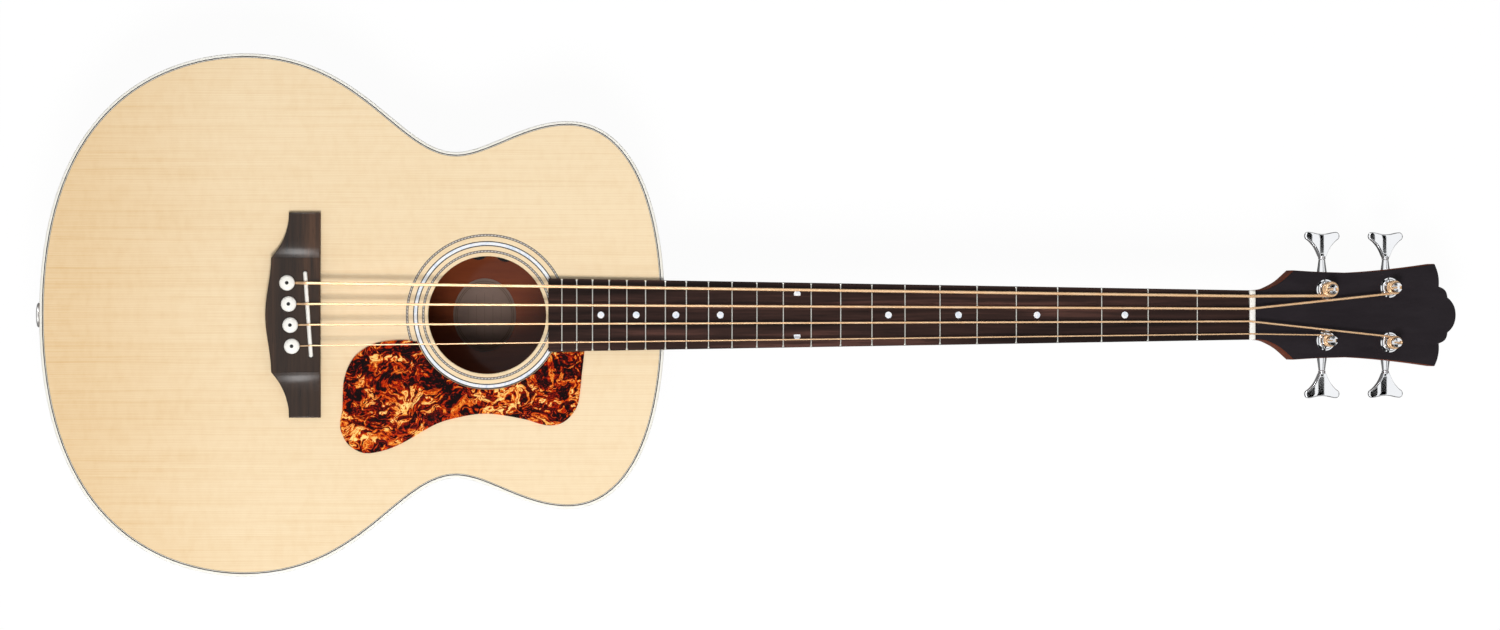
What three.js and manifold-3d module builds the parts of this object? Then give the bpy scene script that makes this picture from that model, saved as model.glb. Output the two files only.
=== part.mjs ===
// An acoustic bass guitar, lying on its arched back with the soundboard up, in millimetres.
// +X runs from the tail to the head, +Y to the side of the thickest string, +Z out of the soundboard.
// While the pieces are made, x is 0 under the saddle and z is 0 at the lowest point of the back.
import * as THREE from "three";
import { mergeVertices } from "three/addons/utils/BufferGeometryUtils.js";
import Module from "manifold-3d";

const wasm = await Module();
wasm.setup();

// Colours
const spruce = 0xe6c48c;
const mahogany = 0x7a3b22;
const rosewood = 0x3a2a26;
const maple = 0xd9b98a;
const ivory = 0xf0e9d6;
const bone = 0xf4f1e8;
const pearl = 0xe9ecef;
const tortoiseshell = 0x4a1c0c;
const black = 0x181716;
const paper = 0xd9d2c0;
const bronze = 0xd8a860;
const brass = 0x8c6b3a;
const steel = 0x9a9a9a;
const chrome = 0xd8dade;

// Clearances
const seatGap = 0.2; // between faces that rest on each other
const fitGap = 0.3; // round a piece that is let into another
const runGap = 0.3; // round a piece that turns or slides
const overrun = 6; // how far a cutting solid passes what it cuts

// Scale
const scaleLength = 781;
const semitonesPerOctave = 12;
const fretCount = 23;
const bodyJoinFret = 17;

// Body outline, measured back from the end that carries the neck
const bodyLength = 515.4;
const lowerBoutFromEnd = 346.6;
const waistFromEnd = 173.4;
const upperBoutFromEnd = 80.6;
const lowerBoutHalf = 216.1;
const waistHalf = 135;
const upperBoutHalf = 160.9;
const outlineShares = [0.919, 0.244, 0.555, 0.263, 0.276, 0.404, 0.606, 0.649];
const outlineSteps = [10, 7, 6, 8];

// Body depth and walls
const bodyDepth = 122;
const sideHeightTail = 104;
const sideHeightNeck = 92;
const topThickness = 3;
const backThickness = 3;
const sideThickness = 2.5;
const backRings = 4;
const domeCentreShare = 0.43; // of the way from the lower bout to the waist
const bindingWidth = 2.2;
const bindingHeight = 6.5;
const liningWidth = 5.5;
const liningHeight = 15;
const tenonLength = 25;
const tenonHalf = 13;
const tenonHeight = 47;
const tenonBelowTop = 24;
const neckBlockLength = 52;
const neckBlockHalf = 38;
const tailBlockLength = 27;
const tailBlockHalf = 32;

// Soundhole and rosette
const soundholeFromBoard = 50.6;
const soundholeRadius = 48.8;
const innerRingRadius = 51.8;
const innerRingWidth = 2;
const pearlRingRadius = 57.1;
const pearlRingWidth = 4.2;
const outerRingRadius = 65.1;
const outerRingWidth = 2;
const ringThickness = 1;
const ringSegments = 28;
const holeSegments = 12;

// Braces under the soundboard
const braceWidth = 9;
const braceHeight = 19;
const braceTipHeight = 5;
const braceTipLength = 60;
const crossingFromHole = 93;
const upperBraceFromBoard = 13;
const upperBraceLength = 262;
const toneBarFromPlate = 27;
const toneBarShares = [0.147, 0.613]; // of the way from there to the tail block
const toneBarFront = { share: toneBarShares[0], tilt: 0.24, length: 178 };
const toneBarRear = { share: toneBarShares[1], tilt: 0.26, length: 158 };
const bridgePlateThickness = 3;
const bridgePlateFront = 12;
const bridgePlateBack = -40;
const bridgePlateFrontHalf = 32;
const bridgePlateFromCrossing = 24;
const bridgePlateBackHalf = 72;

// Fretboard, frets and nut
const fretboardThickness = 6.5;
const fretboardTail = 11.2;
const fretboardEndHalf = 30.35;
const fretboardNutHalf = 20.7;
const fretboardCamber = 1;
const fretHeight = 1.1;
const fretWidth = 2.4;
const fretCrownShare = 0.45;
const boardSteps = 2;
const nutThickness = 5.3;
const nutAboveFrets = 1.7;
const nutChamfer = 0.8;

// Bridge and saddle
const bridgeHeight = 9.2;
const bridgeFront = 8;
const bridgeBelly = -37.2;
const bridgeShoulder = -32.6;
const bridgeCentreHalf = 47.2;
const bridgeHalf = 84.8;
const bridgeWingBack = -18.1;
const wingHeight = 3.9;
const wingStep = 0.8;
const wingCurveShares = [[0, 0], [0.28, 0.02], [0.52, 0.15], [0.78, 0.55], [1, 1]];
const scoopShares = [[0, 1], [0.13, 0.55], [0.27, 0.24], [0.45, 0.06], [0.65, 0]];
const saddleThickness = 3.2;
const saddleCrown = 12.6;
const saddleDrop = 0.7;
const saddleBackFall = 1.5;
const saddleFrontFall = 0.3;
const saddleSteps = 6;
const saddleBass = { x: -4.5, y: 36.1 };
const saddleTreble = { x: 0.45, y: -34.9 };
const saddleSlotDepth = 6.6;
const pickupWidth = 2.4;
const pickupHeight = 1.5;
const pickupInset = 3;

// Bridge pins
const pinHeadRadius = 6.4;
const pinHeadHeight = 3.6;
const pinCollarHeight = 0.9;
const pinShankRadius = 3.9;
const pinTipRadius = 3.2;
const pinLength = 27;
const pinFluteOffset = 3.65;
const pinReliefX = 0.6;
const pinDomeShares = [0.7, 0.85];
const ballRadius = 2.7;
const ballLength = 5;

// Strings, from the thickest to the thinnest, evenly spread at the saddle, the nut and the pins
const stringNames = ["e", "a", "d", "g"];
const stringDiameters = [2.54, 2.03, 1.65, 1.14];
const stringTurns = [2.25, 2.5, 3, 3.25];
const saddleBassY = 26.3;
const saddleTrebleY = -25.2;
const nutStringsHalf = 15.75;
const pinBass = { x: -19.2, y: 26.5 };
const pinTreble = { x: -15.3, y: -25.7 };
const stringFretClearance = 0.55;
const stringBreakBehind = 0.5;
const windingGap = 0.46;
const windingStart = 5.4;
const bendShares = [0.25, 0.15];
const liftShare = 0.12;
const stringSides = 6;
const stepsPerTurn = 16;

// Pickguard, as shares of its length from the soundhole's centre and of its reach from the middle line
const pickguardFromBridge = 15.8;
const pickguardReach = 114.2;
const pickguardThickness = 1.6;
const pickguardRingClearance = 0.5;
const pickguardBackShare = 0.601;
const pickguardOuterShares = [
  [0.399, 0.266], [0.389, 0.422], [0.375, 0.627], [0.348, 0.723], [0.307, 0.784], [0.26, 0.802],
  [0.212, 0.789], [0.158, 0.759], [0.056, 0.725], [-0.012, 0.716], [-0.08, 0.729], [-0.182, 0.772],
  [-0.257, 0.835], [-0.331, 0.913], [-0.399, 0.968], [-0.473, 1], [-0.521, 0.991], [-0.568, 0.937],
  [-0.595, 0.853], [-pickguardBackShare, 0.781], [-0.592, 0.685], [-0.59, 0.565], [-0.585, 0.469],
  [-0.564, 0.361], [-0.528, 0.277], [-0.467, 0.211], [-0.399, 0.187], [-0.331, 0.183], [-0.285, 0.195],
];

// Preamp, battery, jack and label
const wheelNames = ["volume_wheel", "tone_wheel"];
const wheelFromCentre = [-7.3, 15];
const wheelRadius = 8.5;
const wheelShowing = 2.4; // how far a wheel reaches in over the edge of the soundhole
const wheelThickness = 2.6;
const wheelBelowTop = 3.4;
const wheelAxleRadius = 1.4;
const wheelAxleLength = 2;
const wheelGrip = 0.35;
const wheelTeeth = 12;
const preampLength = 45;
const preampWidth = 17;
const preampHeight = 13;
const preampFromHole = 0.4;
const batteryLength = 48.5;
const batteryWidth = 26.5;
const batteryHeight = 17.5;
const batteryBehindBlock = 14;
const jackFlangeRadius = 10.4;
const jackNeckRadius = 6.6;
const jackBarrelRadius = 6.2;
const jackOut = 8.4;
const jackFlangeThickness = 3;
const jackInside = 22;
const jackBoreRadius = 3.4;
const jackBoreDepth = 26;
const labelLength = 54;
const labelWidth = 63;
const labelThickness = 0.5;
const labelFromHole = -4;

// Neck
const neckDepthNut = 16.5;
const neckDepthHeel = 21;
const neckEdge = 3.2;
const neckSections = 7;
const neckSectionSteps = 8;
const heelFootLength = 21;
const heelFootHalf = 13;
const heelTopLength = 78;
const heelTopHalf = 27;
const heelCurve = 2.6;
const heelLevels = 6;
const heelCapThickness = 3;
const trussRodRadius = 2.8;
const trussRodDepth = 10.8;
const trussRodStop = 26;
const trussNutLength = 11;
const trussNutRadius = 4.6;
const trussNutSides = 6;
const trussRodTip = 3;

// Headstock, along its face from the back of the nut and out from the middle line
const headTilt = THREE.MathUtils.degToRad(13);
const headFaceBehindNut = 4.5; // from the top of the frets down to the face, just behind the nut
const headBehindNut = 1;
const headThickness = 14.3;
const veneerThickness = 1.5;
const headLength = 185.2;
const headNutHalf = 20.7;
const flareX = 34.9;
const flareHalf = 37.6;
const flareShares = [[0.25, 0.05], [0.46, 0.21], [0.66, 0.43]];
const headWaistX = 82;
const headWaistHalf = 35.8;
const headNarrowingShare = 0.67;
const headSideShares = [0.4, 0.75];
const headSideCurve = 1.5;
const headTipX = 165.2;
const headTipHalf = 43.6;
const tipEdgeX = 169.3;
const tipEdgeHalf = 24.2;
const tipEdgeBow = 1.6;
const tipEdgeSteps = 3;
const lobeX = 177.4;
const lobeHalf = 15.2;
const lobeBow = 2.4;
const crownBow = 2.2;
const lobeSteps = 4;
const headRoot = 18; // how far the rounded neck runs on under the head

// Tuning machines
const nearPost = { x: 63.6, y: 21.5 };
const farPost = { x: 122.7, y: 23.2 };
const bushingRadius = 5.9;
const flangeRadius = 7.3;
const flangeHeight = 2.2;
const flangeRimShares = [0.4, 0.6];
const postRadius = 4;
const postWaistRadius = 3.7;
const postHeight = 16.6;
const postCapHeight = 2.6;
const postCapShare = 0.4;
const postSlotWidth = 3;
const postSlotDepth = 4.4;
const gearModule = 0.5;
const gearTeeth = 20;
const gearThickness = 3;
const gearDepthBelowBack = 6.9;
const wormPitchRadius = 2.4;
const wormTurns = 3;
const wormStepsPerTurn = 5;
const wormSides = 8;
const toothClearance = 0.16;
const gearValleyShare = 2;
const threadRootShare = 1.1;
const toothTipShare = 0.8;
const pressureAngle = THREE.MathUtils.degToRad(20);
const toothCrestShare = 0.2;
const keyShaftRadius = 1.7;
const housingHalfLength = 10;
const housingHalfWidth = 8.4;
const housingHalfHeight = 6.2;
const housingCorner = 3;
const housingWall = 1.6;
const noseRadius = 4.7;
const noseTipRadius = 3.6;
const noseReach = 47.2;
const collarRadius = 3.7;
const collarLength = 2.4;
const keyReach = 70.6;
const keyHalfWidth = 16.4;
const keyThickness = 5.2;
const keyBevel = 1.2;
const keyShares = [
  [0, 0.2], [0.2, 0.24], [0.42, 0.48], [0.62, 0.86], [0.76, 1], [0.9, 0.98], [0.99, 0.8], [0.975, 0.4],
];

// Worked-out places
const bodyEnd = fretAt(bodyJoinFret);
const bodyTail = bodyEnd - bodyLength;
const lowerBoutX = bodyEnd - lowerBoutFromEnd;
const waistX = bodyEnd - waistFromEnd;
const upperBoutX = bodyEnd - upperBoutFromEnd;
const domeX = lowerBoutX + domeCentreShare * (waistX - lowerBoutX);
const topUnderside = bodyDepth - topThickness;
const fretboardEnd = fretAt(fretCount) - fretboardTail;
const fretboardTop = bodyDepth + seatGap + fretboardThickness;
const fretTop = fretboardTop + fretHeight;
const soundholeX = fretboardEnd - soundholeFromBoard;
const crossingX = soundholeX - crossingFromHole;
const plateFront = Math.min(bridgePlateFront, crossingX - bridgePlateFromCrossing);
const pickguardLength = (soundholeX - bridgeFront - pickguardFromBridge) / pickguardBackShare;
const postPlaces = [nearPost, farPost];
const strings = stringNames.map(stringPlaces);
const neckBlockFront = bodyEnd - sideThickness - seatGap;
const neckBlockBack = neckBlockFront - neckBlockLength;
const bridgeBottom = bodyDepth + seatGap;
const bridgeTop = bridgeBottom + bridgeHeight;
const saddleTop = bodyDepth + saddleCrown;
const plateTop = topUnderside - seatGap;
const plateBottom = plateTop - bridgePlateThickness;
const headX = scaleLength + nutThickness + headBehindNut;
const headZ = fretTop - headFaceBehindNut;
const headBack = -veneerThickness - seatGap - headThickness;
const gearPitchRadius = (gearModule * gearTeeth) / 2;
const wormPitch = gearModule * Math.PI;
const wormOffset = gearPitchRadius + wormPitchRadius;
const gearHeight = headBack - gearDepthBelowBack;
const trussRodZ = bodyDepth - trussRodDepth;
const boundaryLoop = outlineLoop(0);
const jackZ = bodyDepth - sideHeightTail / 2;
const plateInset = bindingWidth + seatGap;
const liningInset = sideThickness + seatGap;
const liningInner = liningInset + liningWidth;
const liningTop = topUnderside - seatGap;

const headFrame = new THREE.Matrix4()
  .makeTranslation(headX, 0, headZ)
  .multiply(new THREE.Matrix4().makeRotationY(headTilt));

function fretAt(number) {
  return scaleLength * 2 ** (-number / semitonesPerOctave);
}

function stringPlaces(name, index) {
  const across = (first, last) => first + ((last - first) * index) / (stringNames.length - 1);
  return {
    name,
    diameter: stringDiameters[index],
    turns: stringTurns[index],
    saddleY: across(saddleBassY, saddleTrebleY),
    nutY: across(nutStringsHalf, -nutStringsHalf),
    pinX: across(pinBass.x, pinTreble.x),
    pinY: across(pinBass.y, pinTreble.y),
  };
}

// Solids and geometries

function geometryFrom(points, triangles) {
  const geometry = new THREE.BufferGeometry();
  const numbers = points.flatMap((p) => [p.x, p.y, p.z]);
  geometry.setAttribute("position", new THREE.Float32BufferAttribute(numbers, 3));
  geometry.setIndex(triangles.flat());
  return facingOut(geometry);
}

// Turns every face round if the closed surface encloses a negative volume.
function facingOut(geometry) {
  const place = geometry.attributes.position;
  const corners = [new THREE.Vector3(), new THREE.Vector3(), new THREE.Vector3()];
  let volume = 0;
  for (let i = 0; i < geometry.index.count; i += 3) {
    corners.forEach((corner, k) => corner.fromBufferAttribute(place, geometry.index.getX(i + k)));
    volume += corners[0].dot(corners[1].clone().cross(corners[2]));
  }
  return volume < 0 ? turned(geometry) : geometry;
}

function turned(geometry) {
  const order = Array.from(geometry.index.array);
  for (let i = 0; i < order.length; i += 3) {
    [order[i + 1], order[i + 2]] = [order[i + 2], order[i + 1]];
  }
  geometry.setIndex(order);
  return geometry;
}

function bareGeometry(geometry) {
  const bare = geometry.clone();
  bare.deleteAttribute("normal");
  bare.deleteAttribute("uv");
  return mergeVertices(bare);
}

function solid(geometry) {
  const bare = bareGeometry(geometry);
  const mesh = new wasm.Mesh({
    numProp: 3,
    vertProperties: new Float32Array(bare.attributes.position.array),
    triVerts: new Uint32Array(bare.index.array),
  });
  return new wasm.Manifold(mesh);
}

function geometryOf(made) {
  const mesh = made.getMesh();
  const geometry = new THREE.BufferGeometry();
  geometry.setAttribute("position", new THREE.BufferAttribute(new Float32Array(mesh.vertProperties), 3));
  geometry.setIndex(Array.from(mesh.triVerts));
  return geometry;
}

function mirrored(geometry) {
  const copy = bareGeometry(geometry);
  copy.scale(1, -1, 1);
  return turned(copy);
}

// A closed solid through loops that have as many points each. Fans close its ends, unless it is a ring.
function loft(loops, ring = false) {
  const size = loops[0].length;
  const points = loops.flat();
  const triangles = [];
  const spans = ring ? loops.length : loops.length - 1;
  for (let j = 0; j < spans; j += 1) {
    const here = j * size;
    const there = ((j + 1) % loops.length) * size;
    for (let i = 0; i < size; i += 1) {
      const next = (i + 1) % size;
      triangles.push([here + i, here + next, there + next]);
      triangles.push([here + i, there + next, there + i]);
    }
  }
  if (!ring) {
    closeEnd(points, triangles, 0, size, true);
    closeEnd(points, triangles, (loops.length - 1) * size, size, false);
  }
  return geometryFrom(points, triangles);
}

function closeEnd(points, triangles, first, size, backwards) {
  const middle = new THREE.Vector3();
  for (let i = 0; i < size; i += 1) {
    middle.add(points[first + i]);
  }
  points.push(middle.divideScalar(size));
  const centre = points.length - 1;
  for (let i = 0; i < size; i += 1) {
    const a = first + i;
    const b = first + ((i + 1) % size);
    triangles.push(backwards ? [centre, b, a] : [centre, a, b]);
  }
}

function box(x1, x2, y1, y2, z1, z2) {
  const geometry = new THREE.BoxGeometry(x2 - x1, y2 - y1, z2 - z1);
  return geometry.translate((x1 + x2) / 2, (y1 + y2) / 2, (z1 + z2) / 2);
}

function extruded(shape, z1, z2, curveSegments = 8) {
  const settings = { depth: z2 - z1, bevelEnabled: false, curveSegments };
  return new THREE.ExtrudeGeometry(shape, settings).translate(0, 0, z1);
}

// A turned solid about the Z axis, from a profile of [radius, height] pairs.
function latheZ(profile, segments) {
  const points = profile.map(([radius, height]) => new THREE.Vector2(radius, height));
  const geometry = bareGeometry(new THREE.LatheGeometry(points, segments));
  return facingOut(withoutSlivers(geometry).rotateX(Math.PI / 2));
}

// Drops the triangles that have no area where a turned profile meets its axis.
function withoutSlivers(geometry) {
  const order = geometry.index.array;
  const kept = [];
  for (let i = 0; i < order.length; i += 3) {
    const [a, b, c] = [order[i], order[i + 1], order[i + 2]];
    if (a !== b && b !== c && a !== c) kept.push(a, b, c);
  }
  geometry.setIndex(kept);
  return geometry;
}

function ringZ(inner, outer, z1, z2, segments) {
  return latheZ([[inner, z1], [outer, z1], [outer, z2], [inner, z2], [inner, z1]], segments);
}

function rodZ(radius, z1, z2, segments) {
  return latheZ([[0, z1], [radius, z1], [radius, z2], [0, z2]], segments);
}

function rodX(radius, x1, x2, segments) {
  return rodZ(radius, x1, x2, segments).rotateY(Math.PI / 2);
}

// A rod along Y, from y1 to y2.
function rodY(radius, y1, y2, segments) {
  return rodZ(radius, -y2, -y1, segments).rotateX(Math.PI / 2);
}

function piece(name, made, color, roughness, metalness = 0) {
  const geometry = made.isBufferGeometry ? made : geometryOf(made);
  const flat = geometry.index ? geometry.toNonIndexed() : geometry;
  flat.computeVertexNormals();
  const mesh = new THREE.Mesh(flat, new THREE.MeshStandardMaterial({ color, roughness, metalness }));
  mesh.name = name;
  return mesh;
}

// Body outline

function halfOutline() {
  const [a, b, c, d, e, f, g, h] = outlineShares;
  const knots = [
    [bodyTail, 0],
    [lowerBoutX, lowerBoutHalf],
    [waistX, waistHalf],
    [upperBoutX, upperBoutHalf],
    [bodyEnd, 0],
  ];
  const [tailSpan, waistSpan] = [lowerBoutX - bodyTail, waistX - lowerBoutX];
  const [shoulderSpan, endSpan] = [upperBoutX - waistX, bodyEnd - upperBoutX];
  const handles = [
    [[bodyTail, a * lowerBoutHalf], [lowerBoutX - b * tailSpan, lowerBoutHalf]],
    [[lowerBoutX + c * waistSpan, lowerBoutHalf], [waistX - d * waistSpan, waistHalf]],
    [[waistX + e * shoulderSpan, waistHalf], [upperBoutX - f * shoulderSpan, upperBoutHalf]],
    [[upperBoutX + g * endSpan, upperBoutHalf], [bodyEnd, h * upperBoutHalf]],
  ];
  const points = [new THREE.Vector2(...knots[0])];
  handles.forEach(([first, second], i) => {
    const curve = new THREE.CubicBezierCurve(
      new THREE.Vector2(...knots[i]),
      new THREE.Vector2(...first),
      new THREE.Vector2(...second),
      new THREE.Vector2(...knots[i + 1]),
    );
    points.push(...curve.getPoints(outlineSteps[i]).slice(1));
  });
  return points;
}

// The whole outline, moved in by an inset square to itself, from the tail round the +Y side and back.
function outlineLoop(inset) {
  const half = halfOutline();
  const other = half.slice(1, -1).reverse().map((p) => new THREE.Vector2(p.x, -p.y));
  const loop = [...half, ...other];
  return loop.map((p, i) => {
    const before = loop[(i + loop.length - 1) % loop.length];
    const after = loop[(i + 1) % loop.length];
    const along = after.clone().sub(before).normalize();
    return new THREE.Vector2(p.x + along.y * inset, p.y - along.x * inset);
  });
}

// How far a place lies from the middle of the dome towards the outline, from 0 to 1.
function domeShare(x, y) {
  const ray = new THREE.Vector2(x - domeX, y);
  if (ray.length() === 0) return 0;
  let share = 0;
  boundaryLoop.forEach((a, i) => {
    const b = boundaryLoop[(i + 1) % boundaryLoop.length];
    const edge = b.clone().sub(a);
    const start = new THREE.Vector2(a.x - domeX, a.y);
    const turn = ray.cross(edge);
    if (turn === 0) return;
    const reach = start.cross(edge) / turn;
    const place = start.cross(ray) / turn;
    if (reach > 0 && place >= 0 && place <= 1) share = Math.max(share, 1 / reach);
  });
  return share;
}

function rimZ(x) {
  const along = (x - bodyTail) / bodyLength;
  return bodyDepth - sideHeightTail + (sideHeightTail - sideHeightNeck) * along;
}

function backZ(x, y) {
  const share = domeShare(x, y);
  return rimZ(x) - rimZ(domeX) * (1 - share * share);
}

function backInside(x, y) {
  return backZ(x, y) + backThickness;
}

// A ring that follows the body outline between two insets; its heights are functions of the place.
function band(outer, inner, low, high) {
  const outside = outlineLoop(outer);
  const inside = outlineLoop(inner);
  const sections = outside.map((o, i) => {
    const n = inside[i];
    return [
      new THREE.Vector3(o.x, o.y, low(o.x, o.y)),
      new THREE.Vector3(o.x, o.y, high(o.x, o.y)),
      new THREE.Vector3(n.x, n.y, high(n.x, n.y)),
      new THREE.Vector3(n.x, n.y, low(n.x, n.y)),
    ];
  });
  return loft(sections, true);
}

// A plate over the whole outline, on rings round the middle of the dome.
function domedPlate(inset, low, high) {
  const rim = outlineLoop(inset);
  const size = rim.length;
  const points = [];
  const triangles = [];
  [low, high].forEach((height, layer) => {
    const first = points.length;
    points.push(new THREE.Vector3(domeX, 0, height(domeX, 0)));
    for (let ring = 1; ring <= backRings; ring += 1) {
      const share = ring / backRings;
      rim.forEach((p) => {
        const x = domeX + (p.x - domeX) * share;
        const y = p.y * share;
        points.push(new THREE.Vector3(x, y, height(x, y)));
      });
    }
    for (let i = 0; i < size; i += 1) {
      const next = (i + 1) % size;
      addFace(triangles, [first, first + 1 + i, first + 1 + next], layer);
      for (let ring = 1; ring < backRings; ring += 1) {
        const here = first + 1 + (ring - 1) * size;
        const there = here + size;
        addFace(triangles, [here + i, there + i, there + next], layer);
        addFace(triangles, [here + i, there + next, here + next], layer);
      }
    }
  });
  const lowRim = 1 + (backRings - 1) * size;
  const highRim = lowRim + 1 + backRings * size;
  for (let i = 0; i < size; i += 1) {
    const next = (i + 1) % size;
    triangles.push([lowRim + i, highRim + next, lowRim + next]);
    triangles.push([lowRim + i, highRim + i, highRim + next]);
  }
  return geometryFrom(points, triangles);
}

function addFace(triangles, [a, b, c], layer) {
  triangles.push(layer === 0 ? [a, b, c] : [a, c, b]);
}

// Everything up to a gap above the inner face of the back, on the back plate's own rings.
function belowBack(gap) {
  return solid(domedPlate(plateInset, () => -overrun, (x, y) => backInside(x, y) + gap));
}

// The room inside the body, within an inset from the outline.
function room(inset) {
  return solid(extruded(bodyShape(inset), 0, liningTop)).subtract(belowBack(fitGap));
}

// Body pieces

const flatTop = () => bodyDepth;
const sideLow = (x) => rimZ(x) + bindingHeight + seatGap;
const sideHigh = () => bodyDepth - bindingHeight - seatGap;
const sideBand = solid(band(0, sideThickness, sideLow, sideHigh));
const tenonLow = bodyDepth - tenonBelowTop - tenonHeight;
const tenonHigh = bodyDepth - tenonBelowTop;

function tenonBox(gap, from) {
  const bottom = tenonLow - gap;
  const top = tenonHigh + gap;
  return solid(box(from, bodyEnd + overrun, -tenonHalf - gap, tenonHalf + gap, bottom, top));
}

// The rib of one side: half the band, from the seam at the tail to the seam beside the heel.
function side(sign) {
  const far = lowerBoutHalf + overrun;
  const other = sign > 0 ? [-far, seatGap / 2] : [-seatGap / 2, far];
  return sideBand
    .subtract(solid(box(bodyTail - overrun, bodyEnd + overrun, ...other, -overrun, bodyDepth)))
    .subtract(tenonBox(fitGap, neckBlockBack))
    .subtract(solid(trussRod(fitGap, bodyEnd - overrun, bodyEnd + overrun)))
    .subtract(jackHole(bodyTail + overrun));
}

function bodyShape(inset) {
  return new THREE.Shape(outlineLoop(inset));
}

function soundboard() {
  const plate = solid(extruded(bodyShape(plateInset), topUnderside, bodyDepth));
  const hole = rodZ(soundholeRadius, topUnderside - overrun, bodyDepth + overrun, ringSegments);
  let made = plate.subtract(solid(hole.translate(soundholeX, 0, 0)));
  rosetteRings.forEach(({ radius, width }) => {
    const [inner, outer] = [radius - seatGap, radius + width + seatGap];
    const groove = ringZ(inner, outer, grooveFloor, bodyDepth + overrun, ringSegments);
    made = made.subtract(solid(groove.translate(soundholeX, 0, 0)));
  });
  strings.forEach((string) => {
    made = made.subtract(pinHole(string, topUnderside - overrun, bodyDepth + overrun));
  });
  return made;
}

const grooveFloor = bodyDepth - ringThickness - seatGap;
const rosetteRings = [
  { name: "rosette_ring_inner", radius: innerRingRadius, width: innerRingWidth, color: black },
  { name: "rosette_ring_pearl", radius: pearlRingRadius, width: pearlRingWidth, color: pearl },
  { name: "rosette_ring_outer", radius: outerRingRadius, width: outerRingWidth, color: black },
];

function rosetteRing({ radius, width }) {
  const ring = ringZ(radius, radius + width, grooveFloor + seatGap, bodyDepth, ringSegments);
  return ring.translate(soundholeX, 0, 0);
}

function topLining() {
  const low = () => liningTop - liningHeight;
  const made = solid(band(liningInset, liningInner, low, () => liningTop));
  return made.subtract(solid(trussRod(fitGap, neckBlockBack, bodyEnd + overrun)));
}

function backLining(gap = 0) {
  const high = (x) => rimZ(x) + backThickness + liningHeight + gap;
  const low = (x, y) => backInside(x, y) + 2 * fitGap - gap;
  return solid(band(liningInset - gap, liningInner + gap, low, high));
}

// A block inside one end of the body, notched round both linings.
function endBlock(x1, x2, half) {
  const rough = solid(box(x1, x2, -half, half, 0, bodyDepth));
  const notchLow = () => liningTop - liningHeight - fitGap;
  const topNotch = band(liningInset - fitGap, liningInner + fitGap, notchLow, flatTop);
  return rough
    .intersect(room(sideThickness + seatGap))
    .subtract(solid(topNotch))
    .subtract(backLining(fitGap));
}

function neckBlock() {
  return endBlock(neckBlockBack, bodyEnd, neckBlockHalf)
    .subtract(tenonBox(fitGap, bodyEnd - tenonLength - fitGap))
    .subtract(solid(trussRod(fitGap, neckBlockBack - overrun, bodyEnd)));
}

function tailBlock() {
  const front = bodyTail + tailBlockLength;
  return endBlock(bodyTail, front, tailBlockHalf).subtract(jackHole(front + overrun));
}

function jackHole(to) {
  return solid(rodX(jackBarrelRadius + fitGap, bodyTail - overrun, to, holeSegments).translate(0, 0, jackZ));
}

// A brace of one length, its lower edge sloping up to both tips, lying along X through the origin.
function braceBar(length, gap = 0) {
  const top = liningTop + gap;
  const low = liningTop - braceHeight - gap;
  const tip = liningTop - braceTipHeight - gap;
  const half = length / 2 + gap;
  const profile = new THREE.Shape([
    new THREE.Vector2(-half, top),
    new THREE.Vector2(-half, tip),
    new THREE.Vector2(-half + braceTipLength, low),
    new THREE.Vector2(half - braceTipLength, low),
    new THREE.Vector2(half, tip),
    new THREE.Vector2(half, top),
  ]);
  const thickness = braceWidth + 2 * gap;
  return extruded(profile, -thickness / 2, thickness / 2).rotateX(Math.PI / 2);
}

const braceRoomInset = liningInner + fitGap;

function fittedBrace(geometry) {
  return solid(geometry).intersect(room(braceRoomInset));
}

// The room that one bar of the X takes, with a gap round it.
function crossRoom(sign) {
  const turn = (Math.PI / 4) * sign;
  return solid(braceBar(2 * lowerBoutHalf, fitGap).rotateZ(turn).translate(crossingX, 0, 0));
}

// One bar of the X, half-lapped with the other at the crossing.
function crossBrace(sign) {
  const turn = (Math.PI / 4) * sign;
  const middle = liningTop - braceHeight / 2;
  const from = sign > 0 ? -overrun : middle - fitGap / 2;
  const to = sign > 0 ? middle + fitGap / 2 : bodyDepth;
  const reach = braceWidth * 2;
  const lap = solid(box(crossingX - reach, crossingX + reach, -reach, reach, from, to));
  return crossBar(turn).subtract(crossRoom(-sign).intersect(lap));
}

// A bar of the X whose sloping tips end just short of the lining, clear of the bridge pins.
function crossBar(turn) {
  const low = crossTip(turn, -1);
  const high = crossTip(turn, 1);
  const bar = braceBar(high - low).translate((low + high) / 2, 0, 0);
  const ballReach = Math.hypot(pinFluteOffset + seatGap + ballLength / 2, ballRadius);
  let made = solid(bar.rotateZ(turn).translate(crossingX, 0, 0));
  strings.forEach(({ pinX, pinY }) => {
    const pinRoom = rodZ(ballReach + fitGap, 0, bodyDepth, holeSegments);
    made = made.subtract(solid(pinRoom.translate(pinX, pinY, 0)));
  });
  return made;
}

// How far along a bar of the X its end lies from the crossing.
function crossTip(turn, direction) {
  const edge = outlineLoop(braceRoomInset + braceWidth / 2);
  const line = new THREE.Vector2(Math.cos(turn), Math.sin(turn)).multiplyScalar(direction);
  let reach = 0;
  edge.forEach((a, i) => {
    const b = edge[(i + 1) % edge.length];
    const span = b.clone().sub(a);
    const start = new THREE.Vector2(a.x - crossingX, a.y);
    const cross = line.cross(span);
    if (cross === 0) return;
    const along = start.cross(span) / cross;
    const place = start.cross(line) / cross;
    if (along > 0 && place >= 0 && place <= 1) reach = reach === 0 ? along : Math.min(reach, along);
  });
  return reach * direction;
}

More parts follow.
